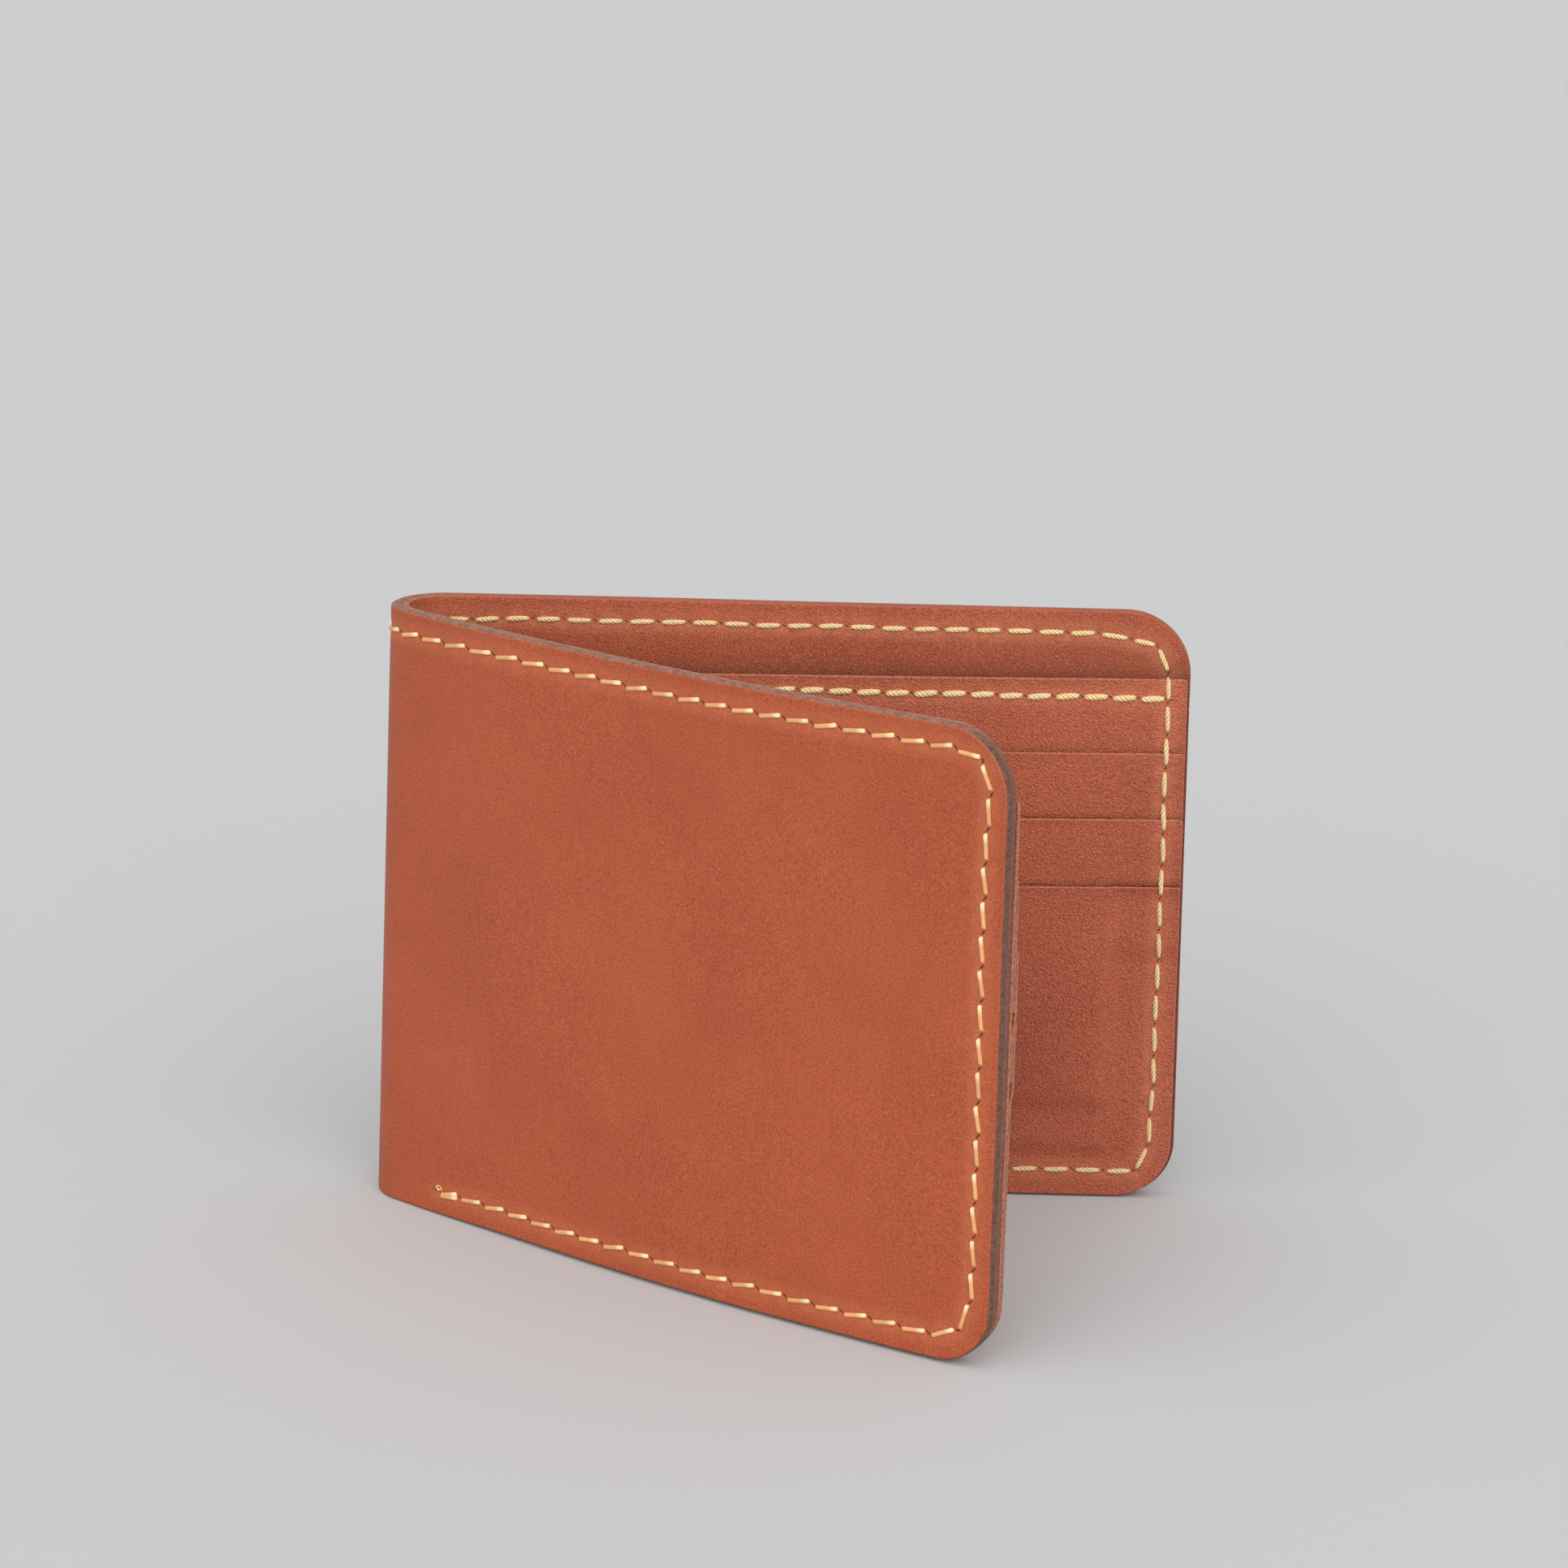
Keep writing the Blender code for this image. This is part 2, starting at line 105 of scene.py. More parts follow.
@dataclass(frozen=True)
class Layout:
    """The flat layout and the way it is bent, in metres and radians."""

    centre_x: float
    centre_y: float
    floor: float
    height: float
    half_length: float = 0.108
    fold_radius: float = 0.008
    fold_turn: float = math.radians(135.5)
    front_bow: float = math.radians(13.4)
    fold_reach: float = 0.032
    fold_push: float = 0.00105
    fold_lean: float = 0.0200

    @classmethod
    def from_frame(cls) -> "Layout":
        """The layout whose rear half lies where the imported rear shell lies."""
        low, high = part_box("rear_shell")
        return cls(high.x - cls.half_length, high.y - cls.fold_radius, low.z, high.z - low.z)

    @property
    def fold_length(self) -> float:
        """Length of the fold along the grain side."""
        return self.fold_radius * self.fold_turn

    @property
    def apex(self) -> float:
        """Place of the middle of the fold along the wallet."""
        return self.fold_length / 2

    def along(self, side: Side, distance: np.ndarray) -> np.ndarray:
        """Place along the wallet of something this far from the fold."""
        return -distance if side is Side.REAR else self.fold_length + distance

    def place(self, u: np.ndarray, height: np.ndarray, depth: np.ndarray) -> np.ndarray:
        """Bends layout points.

        Args:
            u: Place along the wallet, negative on the rear half.
            height: Height above the standing edge.
            depth: Depth below the grain side of the shell.

        Returns:
            An array of world points, one row for each.
        """
        bow_radius = self.half_length / self.front_bow
        turn = np.clip(u, 0.0, self.fold_length) / self.fold_radius
        out_x, out_y = -np.sin(turn), np.cos(turn)
        on_x, on_y = -np.cos(turn), -np.sin(turn)
        arm = self.fold_radius - depth
        bend = np.maximum(u - self.fold_length, 0.0) / bow_radius
        bow_arm = bow_radius - depth
        shift = self.fold_radius - bow_radius
        bowed_x = out_x * (shift + bow_arm * np.cos(bend)) + on_x * bow_arm * np.sin(bend)
        bowed_y = out_y * (shift + bow_arm * np.cos(bend)) + on_y * bow_arm * np.sin(bend)
        x = np.where(u > self.fold_length, bowed_x, out_x * arm + np.maximum(-u, 0.0))
        y = np.where(u > self.fold_length, bowed_y, out_y * arm)
        near_fold = 0.5 + 0.5 * np.cos(math.pi * np.clip((u - self.apex) / self.fold_reach, -1.0, 1.0))
        push = (self.fold_push - self.fold_lean * height) * near_fold
        x = x - push * math.sin(self.fold_turn / 2)
        y = y + push * math.cos(self.fold_turn / 2)
        return np.stack([x + self.centre_x, y + self.centre_y, height + self.floor + 0.0 * u], axis=-1)

    def fold_line(self) -> tuple[Vector, Vector, Vector]:
        """Points before, at and after the middle of the fold, in line across it.

        Returns:
            The three points.
        """
        turn = self.apex / self.fold_radius
        middle = Vector(self.place(np.array(self.apex), np.array(0.0), np.array(0.0)))
        reach = Vector((-math.cos(turn), -math.sin(turn), 0.0)) * self.fold_radius * math.sin(turn)
        return middle - reach, middle, middle + reach


@dataclass(frozen=True)
class Seam:
    """A row of punched holes, as distance from the fold and height, in sewing order."""

    holes: np.ndarray
    pitch: float
    groove_depth: float = 0.10 * MM
    groove_width: float = 0.75 * MM
    hole_depth: float = 0.20 * MM
    hole_length: float = 0.50 * MM
    hole_width: float = 0.55 * MM
    gather_height: float = 0.085 * MM
    gather_reach: float = 1.5 * MM

    def follow(self, distance: np.ndarray, height: np.ndarray) -> tuple[np.ndarray, np.ndarray]:
        """Where points lie beside the seam.

        Args:
            distance: Distance of the points from the fold.
            height: Height of the points.

        Returns:
            The count of holes passed, whole at each hole, and the distance from the seam, positive on its
            left as it is sewn.
        """
        count = np.zeros(distance.shape)
        across = np.full(distance.shape, FAR)
        for index, (start, end) in enumerate(zip(self.holes, self.holes[1:])):
            run = end - start
            length = float(np.hypot(*run))
            dx, dy = distance - start[0], height - start[1]
            share = np.clip((dx * run[0] + dy * run[1]) / length**2, 0.0, 1.0)
            gap = np.hypot(dx - share * run[0], dy - share * run[1])
            left = np.where(dy * run[0] - dx * run[1] >= 0, 1.0, -1.0)
            nearer = gap < np.abs(across)
            count = np.where(nearer, index + share, count)
            across = np.where(nearer, gap * left, across)
        return count, across

    def press(self, distance: np.ndarray, height: np.ndarray) -> np.ndarray:
        """How far the stitches draw a face in, with the small gathers they leave beside them.

        Args:
            distance: Distance of the points from the fold.
            height: Height of the points.

        Returns:
            The depth at each point.
        """
        count, across = self.follow(distance, height)
        from_hole = (count - np.round(count)) * self.pitch
        groove = self.groove_depth * np.exp(-((across / self.groove_width) ** 2))
        hole = np.exp(-((from_hole / self.hole_length) ** 2) - (across / self.hole_width) ** 2)
        beside = 1.0 - np.exp(-((across / self.hole_length) ** 2))
        fade = np.exp(-np.abs(across) / self.gather_reach) * beside
        gather = self.gather_height * np.cos(count * math.tau) * fade
        return groove + self.hole_depth * hole + gather


def run(start: float, step: float, count: int, height: float) -> list[tuple[float, float]]:
    """Holes of a level run, in millimetres."""
    return [(start + step * k, height + 0.08 * math.sin(1.3 * k)) for k in range(count)]


def climb(distance: float, start: float, step: float, count: int) -> list[tuple[float, float]]:
    """Holes of an upright run, in millimetres."""
    return [(distance + 0.08 * math.sin(1.7 * k), start + step * k) for k in range(count)]


def edge_seam(side: Side) -> Seam:
    """The seam along the top, the free side and the bottom of a half, begun on the fold.

    Args:
        side: Which half it is sewn on.

    Returns:
        The seam.
    """
    if side is Side.REAR:
        holes = [(-9.02, 84.7), (-4.8, 84.65), (-0.6, 84.6), (3.45, 84.55)]
        holes += run(7.92, 4.533, 20, 84.8) + [(98.77, 84.0), (102.67, 83.06), (104.33, 78.97)]
        holes += climb(104.3, 74.85, -4.803, 13) + [(104.1, 12.9), (104.0, 8.1), (102.1, 4.1)]
        holes += run(97.56, -4.63, 20, 4.15)
    else:
        holes = [(-14.12, 84.65), (-9.9, 84.7), (-5.5, 84.75), (-0.85, 84.8)]
        for k in range(20):
            looser = 4.25 * (1.0 - math.exp(-((k / 4.3) ** 1.5)))
            holes.append((3.6 + 4.58 * k + looser, 84.75 + 0.12 * math.sin(0.42 * k)))
        holes += [(99.23, 84.95), (103.42, 83.82), (104.85, 79.4), (104.42, 74.7)]
        holes += climb(104.3, 70.08, -4.672, 13) + [(104.1, 9.45), (102.35, 5.0)]
        holes += run(97.8, -4.69, 18, 3.78) + [(13.4, 3.75), (9.3, 3.6)]
    return Seam(np.array(holes) * MM, 4.65 * MM)


def divider_seam(side: Side) -> Seam:
    """The seam along the top of the divider, from the fold to the free side.

    Args:
        side: Which half it is sewn on.

    Returns:
        The seam.
    """
    first = -10.45 if side is Side.REAR else -8.47
    count = 29
    step = (104.2 - first) / (count - 1)
    return Seam(np.array(run(first, step, count, 75.5)) * MM, step * MM)


def gutter_seam() -> Seam:
    """The upright seam beside the fold that closes the pockets, hidden when the wallet is shut."""
    return Seam(np.array(climb(14.0, 65.6, -4.62, 14)) * MM, 4.62 * MM)


def foot_seam(foot: float) -> Seam:
    """The seam across the foot of a T pocket."""
    return Seam(np.array(run(26.2, 3.94, 18, foot)) * MM, 3.94 * MM)


LOW_CORNER = 0.0082
HIGH_CORNER = 0.0095
LEAF_CORNER = 0.0005


@dataclass(frozen=True)
class Trim:
    """How far the edges of one half end from its plain outline, in metres.

    The body is the shell and the lining, the leaves are the divider and the pockets. Each is this much
    shorter at the free edge, and comes in by its tuck towards the bottom. The lift raises the bottom edge
    away from the fold.
    """

    lift: float
    body: float
    body_tuck: float
    leaf: float
    leaf_tuck: float


TRIMS = {
    Side.REAR: Trim(lift=0.0, body=0.42 * MM, body_tuck=-0.46 * MM, leaf=0.9 * MM, leaf_tuck=-0.32 * MM),
    Side.FRONT: Trim(
        lift=0.38 * MM, body=0.52 * MM, body_tuck=0.45 * MM, leaf=0.46 * MM, leaf_tuck=0.62 * MM
    ),
}


@dataclass(frozen=True)
class Cut:
    """The outline of one layer of one half and the rounding of its edges, in metres.

    The outline runs from start to end along the wallet and from bottom to top, with a rounded corner
    where a radius is given. A waist makes it a T: below the ears it is narrower by the waist at each end.
    The top edge rises by the slope, the free edge comes in by the tuck towards the bottom (or goes out,
    where the tuck is negative), and the bottom edge rises by the lift away from the fold.
    """

    start: float
    end: float
    bottom: float
    top: float
    low_corner: float
    high_corner: float
    near_corner: float = 0.0
    waist: float = 0.0
    ears: float = 0.0
    crosses_fold: bool = False
    slope: float = 0.0
    tuck: float = 0.0
    lift: float = 0.0
    outer_round: float = 0.00015
    inner_round: float = 0.0002
    cell: float = 0.00055

    @property
    def margin(self) -> float:
        """How far inside the outline the flat faces end."""
        return max(self.outer_round, self.inner_round) + 0.04 * MM


class Blanket:
    """Covers a cut with a grid of small cells on both faces, joined round the edge."""

    EDGE_STEPS = (90.0, 60.0, 30.0, 0.0, -30.0, -60.0, -90.0)
    TUCK_HEIGHT = 0.075
    TUCK_START, TUCK_REACH = 0.085, 0.022
    LIFT_HEIGHT, LIFT_REACH = 0.012, 0.03

    def __init__(self, cut: Cut) -> None:
        """Lays out the grid of the cut, a margin inside its outline.

        Args:
            cut: The outline that it covers.
        """
        inset = cut.margin
        self.cut = replace(
            cut,
            start=cut.start if cut.crosses_fold else cut.start + inset,
            end=cut.end - inset,
            bottom=cut.bottom + inset,
            top=cut.top - inset,
            low_corner=max(cut.low_corner - inset, 0.0),
            high_corner=max(cut.high_corner - inset, 0.0),
            near_corner=max(cut.near_corner - inset, 0.0),
            ears=cut.ears + inset,
        )
        cut = self.cut
        self.columns = self._lines(self._stops_along(), cut.cell, cut.cell)
        self.rows = self._lines(self._stops_up(), cut.cell * 0.8, cut.cell * 1.8)
        self._lay()
        self._find_edge()

    def _stops_along(self) -> list[float]:
        """Places that a grid line has to pass, along the wallet.

        Returns:
            The places, in order.
        """
        cut = self.cut
        stops = {cut.start, cut.end}
        for radius in (cut.low_corner, cut.high_corner):
            stops.add(cut.end - radius)
        if cut.near_corner:
            stops.add(cut.start + cut.near_corner)
        if cut.waist:
            stops |= {cut.start + cut.waist, cut.end - cut.waist}
        return sorted(stops)

    def _stops_up(self) -> list[float]:
        """Places that a grid line has to pass, up the height.

        Returns:
            The places, in order.
        """
        cut = self.cut
        stops = {cut.bottom, cut.top, cut.top - cut.high_corner, cut.bottom + cut.low_corner}
        if cut.near_corner:
            stops |= {cut.top - cut.near_corner, cut.bottom + cut.near_corner}
        if cut.waist:
            stops.add(cut.ears)
        return sorted(stops)

    @staticmethod
    def _lines(stops: list[float], fine: float, coarse: float) -> np.ndarray:
        """Grid lines through all stops, fine in the outer spans and coarse in the widest one.

        Args:
            stops: Places that a line has to pass, in order.
            fine: Cell size in the outer spans.
            coarse: Cell size in the widest span.

        Returns:
            The place of each line.
        """
        gaps = [b - a for a, b in zip(stops, stops[1:])]
        lines = [np.array([stops[0]])]
        for low, high, gap in zip(stops, stops[1:], gaps):
            if gap < 1e-7:
                continue
            cell = coarse if gap == max(gaps) else fine
            count = max(1, round(gap / cell))
            lines.append(np.linspace(low, high, count + 1)[1:])
        return np.concatenate(lines)

    def _lay(self) -> None:
        """Places the grid points and picks the cells that the cut keeps."""
        cut = self.cut
        along, up = np.meshgrid(self.columns, self.rows, indexing="ij")
        corners = [(cut.end, cut.bottom, cut.low_corner), (cut.end, cut.top, cut.high_corner)]
        corners += [(cut.start, cut.bottom, cut.near_corner), (cut.start, cut.top, cut.near_corner)]
        for edge, level, radius in corners:
            if not radius or (cut.waist and level == cut.bottom):
                continue
            sign_x = 1.0 if edge == cut.end else -1.0
            sign_y = 1.0 if level == cut.top else -1.0
            hub_x, hub_y = edge - sign_x * radius, level - sign_y * radius
            x = (along - hub_x) * sign_x / radius
            y = (up - hub_y) * sign_y / radius
            inside = (x > 0) & (y > 0)
            bent_x = hub_x + sign_x * radius * x * np.sqrt(np.clip(1 - y * y / 2, 0, 1))
            bent_y = hub_y + sign_y * radius * y * np.sqrt(np.clip(1 - x * x / 2, 0, 1))
            along, up = np.where(inside, bent_x, along), np.where(inside, bent_y, up)
        low = smooth(1.0 - (up - cut.bottom) / self.LIFT_HEIGHT) * smooth(along / self.LIFT_REACH)
        up = up + cut.slope * (along - cut.end / 2) * smooth((up - cut.bottom) / (cut.top - cut.bottom))
        lower = np.clip(1.0 - up / self.TUCK_HEIGHT, 0.0, 1.0)
        along = along - cut.tuck * lower * smooth((along - self.TUCK_START) / self.TUCK_REACH)
        up = up + cut.lift * low
        middle_x = (self.columns[:-1] + self.columns[1:])[:, None] / 2
        middle_y = (self.rows[:-1] + self.rows[1:])[None, :] / 2
        keep = np.ones((len(self.columns) - 1, len(self.rows) - 1), bool)
        if cut.waist:
            beside = (middle_x < cut.start + cut.waist) | (middle_x > cut.end - cut.waist)
            keep = ~(beside & (middle_y < cut.ears))
        number = np.arange(along.size).reshape(along.shape)
        near, far = number[:-1, :-1], number[1:, :-1]
        cells = np.stack([near, far, number[1:, 1:], number[:-1, 1:]], axis=-1)[keep]
        used = np.unique(cells)
        renumber = np.full(along.size, -1)
        renumber[used] = np.arange(len(used))
        self.cells = renumber[cells]
        self.distance, self.height = along.ravel()[used], up.ravel()[used]

    def _find_edge(self) -> None:
        """Walks round the edge once and finds which way is outwards at each point of it."""
        sides = np.concatenate([self.cells[:, [k, (k + 1) % 4]] for k in range(4)])
        known = {(int(a), int(b)) for a, b in sides}
        following = {a: b for a, b in known if (b, a) not in known}
        first = next(iter(following))
        loop = [first]
        while following[loop[-1]] != first:
            loop.append(following[loop[-1]])
        self.loop = np.array(loop)
        x, y = self.distance[self.loop], self.height[self.loop]
        step_x, step_y = np.roll(x, -1) - x, np.roll(y, -1) - y
        length = np.hypot(step_x, step_y)
        out_x, out_y = step_y / length, -step_x / length
        if self.cut.crosses_fold:
            on_cut = (np.abs(x - self.cut.start) < 1e-6) & (np.abs(np.roll(x, -1) - self.cut.start) < 1e-6)
            out_x, out_y = np.where(on_cut, 0.0, out_x), np.where(on_cut, 0.0, out_y)
        sum_x, sum_y = out_x + np.roll(out_x, 1), out_y + np.roll(out_y, 1)
        span = np.maximum(np.hypot(sum_x, sum_y), 1e-9)
        lone = span < 1.01
        scale = np.where(lone, 1.0 / span, 2.0 / span**2)
        scale = np.where(np.hypot(sum_x, sum_y) < 1e-6, 0.0, scale)
        self.outward = np.stack([sum_x * scale, sum_y * scale], axis=-1)

    def points(self) -> dict[str, np.ndarray]:
        """Every point of the two faces and of the rounded edge between them.

        Returns:
            Arrays of distance, height, share of the thickness (0 outer, 1 inner), and edge, which is 0
            on the faces and 1 at the middle of the edge.
        """
        cut = self.cut
        rings = []
        edge_x, edge_y = self.distance[self.loop], self.height[self.loop]
        for degrees in self.EDGE_STEPS:
            rounding = cut.outer_round if degrees > 0 else cut.inner_round
            turn = math.radians(degrees)
            reach = cut.margin - rounding * (1.0 - math.cos(turn))
            x, y = edge_x + self.outward[:, 0] * reach, edge_y + self.outward[:, 1] * reach
            share, edge = 0.5 - 0.5 * math.sin(turn), math.cos(turn)
            rings.append((x, y, np.full(len(x), share), np.full(len(x), edge)))
        count = len(self.distance)
        faces = [(self.distance, self.height, np.full(count, side), np.zeros(count)) for side in (0.0, 1.0)]
        parts = [*faces, *rings]
        names = ("distance", "height", "share", "edge")
        return {name: np.concatenate([part[k] for part in parts]) for k, name in enumerate(names)}

    def faces(self, turned: bool) -> np.ndarray:
        """Corner numbers of every cell of both faces and the edge.

        Args:
            turned: Whether the layout is mirrored, so that each cell has to be turned over.

        Returns:
            An array with four point numbers in each row.
        """
        count, around = len(self.distance), len(self.loop)
        levels = [self.loop]
        levels += [2 * count + k * around + np.arange(around) for k in range(len(self.EDGE_STEPS))]
        levels.append(count + self.loop)
        walls = []
        for upper, lower in zip(levels, levels[1:]):
            walls.append(np.stack([upper, lower, np.roll(lower, -1), np.roll(upper, -1)], axis=-1))
        every = np.concatenate([self.cells, self.cells[:, ::-1] + count, *walls])
        return every[:, ::-1] if turned else every


def build_mesh(name: str, points: np.ndarray, faces: list[np.ndarray]) -> bpy.types.Object:
    """Makes a smooth mesh object.

    Args:
        name: Name of the piece.
        points: World points, one row each.
        faces: Arrays of point numbers, one array for each count of corners.

    Returns:
        The object, linked to the scene.
    """
    mesh = bpy.data.meshes.new(name)
    mesh.vertices.add(len(points))
    mesh.vertices.foreach_set("co", points.astype(np.float32).ravel())
    corners = np.concatenate([part.ravel() for part in faces])
    sizes = np.concatenate([np.full(len(part), part.shape[1]) for part in faces])
    mesh.loops.add(len(corners))
    mesh.loops.foreach_set("vertex_index", corners.astype(np.int32))
    mesh.polygons.add(len(sizes))
    mesh.polygons.foreach_set("loop_start", (np.cumsum(sizes) - sizes).astype(np.int32))
    mesh.polygons.foreach_set("use_smooth", np.ones(len(sizes), bool))
    mesh.update(calc_edges=True)
    mesh.validate()
    piece = bpy.data.objects.new(name, mesh)
    bpy.context.scene.collection.objects.link(piece)
    return piece


def store(piece: bpy.types.Object, name: str, values: np.ndarray) -> None:
    """Keeps one value, or one row of three, for each point of a piece, for its material to read.

    Args:
        piece: The piece.
        name: Name that the material reads it by.
        values: One value or one row for each point.
    """
    if values.ndim == 1:
        kept = piece.data.attributes.new(name, "FLOAT", "POINT")
        kept.data.foreach_set("value", values.astype(np.float32))
    else:
        kept = piece.data.attributes.new(name, "FLOAT_VECTOR", "POINT")
        kept.data.foreach_set("vector", values.astype(np.float32).ravel())


@dataclass
class Stack:
    """How the layers of a half lie on each other, and where its faces are drawn in by the seams.

    Sizes are in metres, depths are those of the outer and the inner face. The pockets reach the seams only
    with their ears, so lower layers settle towards the divider beside the stems.
    """

    side: Side
    layout: Layout
    depths: dict[str, tuple[float, float]] = field(
        default_factory=lambda: {
            "shell": (0.0, 1.6 * MM),
            "lining": (1.62 * MM, 2.65 * MM),
            "divider": (2.72 * MM, 3.5 * MM),
        }
    )
    tops: dict[str, float] = field(
        default_factory=lambda: {
            "divider": 77.75 * MM, "upper": 66.85 * MM, "middle": 57.15 * MM, "lower": 47.15 * MM
        }
    )
    feet: dict[str, float] = field(default_factory=lambda: {"upper": 16.0 * MM, "middle": 9.0 * MM})
    pocket_floor: float = 3.54 * MM
    pocket_thickness: float = 0.55 * MM
    pocket_step: float = 0.62 * MM
    pocket_start: float = 11.0 * MM
    waist: float = 12.0 * MM
    ear: float = 18.0 * MM
    settle: float = 3.0 * MM
    slope: float = 0.012
    curl_height: float = 0.20 * MM
    curl_reach: float = 1.1 * MM
    wave: float = 0.16 * MM

    def __post_init__(self) -> None:
        """Punches the seams of the half."""
        self.edge = edge_seam(self.side)
        self.divider = divider_seam(self.side)
        self.gutter = gutter_seam()

    def _cover(self, level: str, s: np.ndarray, h: np.ndarray) -> np.ndarray:
        """1 where the T pocket lies underneath, falling softly to 0 beside it.

        Args:
            level: Name of the T pocket.
            s: Distance of the points from the fold.
            h: Height of the points.

        Returns:
            The share at each point.
        """
        soft = self.settle
        top, foot = self.tops[level], self.feet[level]
        near, far = self.pocket_start + self.waist, self.layout.half_length - self.waist
        stem = smooth((s - near) / soft + 1) * smooth((far - s) / soft + 1) * smooth((h - foot) / soft + 1)
        ears = smooth((h - top + self.ear) / soft + 1)
        return np.maximum(stem, ears)

    def rest(self, layer: str, s: np.ndarray, h: np.ndarray) -> np.ndarray:
        """Depth of a layer's outer face.

        Args:
            layer: Name of the layer.
            s: Distance from the fold.
            h: Height.

        Returns:
            The depth at each point.
        """
        if layer in self.depths:
            return np.full(s.shape, self.depths[layer][0])
        depth = np.full(s.shape, self.pocket_floor)
        if layer in ("middle", "lower"):
            depth = depth + self.pocket_step * self._cover("upper", s, h)
        if layer == "lower":
            depth = depth + self.pocket_step * self._cover("middle", s, h)
        return depth

    def thickness(self, layer: str) -> float:
        """Thickness of a layer.

        Args:
            layer: Name of the layer.

        Returns:
            Its thickness in metres.
        """
        if layer not in self.depths:
            return self.pocket_thickness
        outer, inner = self.depths[layer]
        return inner - outer

    def below_top(self, layer: str, s: np.ndarray, h: np.ndarray) -> np.ndarray:
        """Distance below the sloping top edge of the divider or a pocket."""
        return self.tops[layer] + self.slope * (s - self.layout.half_length / 2) - h

    def curl(self, layer: str, s: np.ndarray, h: np.ndarray) -> np.ndarray:
        """How far the free top edge of the divider or a pocket stands off from the layer behind.

        Args:
            layer: Name of the layer.
            s: Distance of the points from the fold.
            h: Height of the points.

        Returns:
            The distance at each point.
        """
        if layer not in self.tops:
            return np.zeros(s.shape)
        begun = 0.0 if layer == "divider" else self.pocket_start + 4 * MM
        loose = smooth((100 * MM - s) / (14 * MM)) * smooth((s - begun) / (14 * MM))
        below = np.clip(self.below_top(layer, s, h), 0.0, None)
        return self.curl_height * np.exp(-below / self.curl_reach) * loose

    def shade(self, layer: str, s: np.ndarray, h: np.ndarray) -> np.ndarray:
        """Painted shade on a layer just above the edge in front of it, where that edge's shadow falls, from
        0 to 1.

        Args:
            layer: Name of the layer.
            s: Distance of the points from the fold.
            h: Height of the points.

        Returns:
            The shade at each point.
        """
        in_front = {"lining": "divider", "divider": "upper", "upper": "middle", "middle": "lower"}
        if layer not in in_front:
            return np.zeros(s.shape)
        above = np.clip(-self.below_top(in_front[layer], s, h), 0.0, None)
        return np.exp(-above / (2.6 * MM)) if layer == "lining" else 0.9 * np.exp(-above / (0.45 * MM))

    def drape(self, s: np.ndarray, h: np.ndarray) -> np.ndarray:
        """Broad soft waves that all the layers share.

        Args:
            s: Distance of the points from the fold.
            h: Height of the points.

        Returns:
            The height of the waves at each point.
        """
        u = self.layout.along(self.side, s)
        calm = smooth((s + 2 * MM) / (30 * MM))
        return self.wave * ripple(u, h, 74 * MM, 0.9) * calm

    def drawn_in(self, layer: str, face: Face, s: np.ndarray, h: np.ndarray) -> np.ndarray:
        """How far a face lies below its rest, towards the middle of the leather.

        Args:
            layer: Name of the layer.
            face: Which of its faces.
            s: Distance of the points from the fold.
            h: Height of the points.

        Returns:
            The depth at each point.
        """
        if (layer, face) == ("shell", Face.OUTER):
            return self.edge.press(s, h)
        if face is Face.OUTER:
            return np.zeros(s.shape)
        drawn = self.edge.press(s, h)
        if layer == "divider":
            drawn = np.maximum(drawn, self.divider.press(s, h))
        if layer in self.tops:
            drawn = np.maximum(drawn, self.gutter.press(s, h))
        return drawn

    def inner_face(self, s: np.ndarray, h: np.ndarray) -> np.ndarray:
        """Depth of the inmost face at each point, where the inner stitches lie.

        Args:
            s: Distance of the points from the fold.
            h: Height of the points.

        Returns:
            The depth at each point.
        """
        lining, divider = self.depths["lining"][1], self.depths["divider"][1]
        depth = np.where(self.below_top("divider", s, h) > 0, divider, lining)
        for layer in ("upper", "middle", "lower"):
            below = self.below_top(layer, s, h)
            covered = (below > 0) & (s > self.pocket_start)
            if layer != "lower":
                covered &= below < self.ear
            depth = np.where(covered, self.rest(layer, s, h) + self.pocket_thickness, depth)
        return depth


@dataclass
class Leather:
    """Cuts and forms the leather of one half."""

    side: Side
    layout: Layout
    stack: Stack

    def sheet(self, layer: str, cut: Cut) -> bpy.types.Object:
        """One layer, with rounded edges, drawn in along its seams and bent with the wallet.

        Args:
            layer: Name of the layer.
            cut: Its outline and thickness.

        Returns:
            The piece.
        """
        stack, layout = self.stack, self.layout
        blanket = Blanket(cut)
        points = blanket.points()
        s, h, share = points["distance"], points["height"], points["share"]
        outer = stack.rest(layer, s, h) - stack.drape(s, h) + stack.curl(layer, s, h)
        inner = outer + stack.thickness(layer)
        outer = outer + stack.drawn_in(layer, Face.OUTER, s, h)
        inner = inner - stack.drawn_in(layer, Face.INNER, s, h)
        depth = outer + (inner - outer) * share
        u = layout.along(self.side, s)
        world = layout.place(u, h, depth)
        faces = blanket.faces(turned=self.side is Side.REAR)
        piece = build_mesh(f"{self.side.value}_{layer}_leather", world, [faces])
        store(piece, "layout", np.stack([u, h, depth], axis=-1))
        store(piece, "edge", points["edge"])
        # Painted shade just above the edge of the layer in front, on the inner face only
        store(piece, "painted_shade", stack.shade(layer, s, h) * (share > 0.5))
        for name, seam in (("edge_seam", stack.edge), ("divider_seam", stack.divider)):
            count, across = seam.follow(s, h)
            if name == "divider_seam" and layer != "divider":
                across = np.full(s.shape, FAR)
            store(piece, name, np.stack([count, across, share], axis=-1))
        log.info("%s: %d cells", piece.name, len(faces))
        return piece


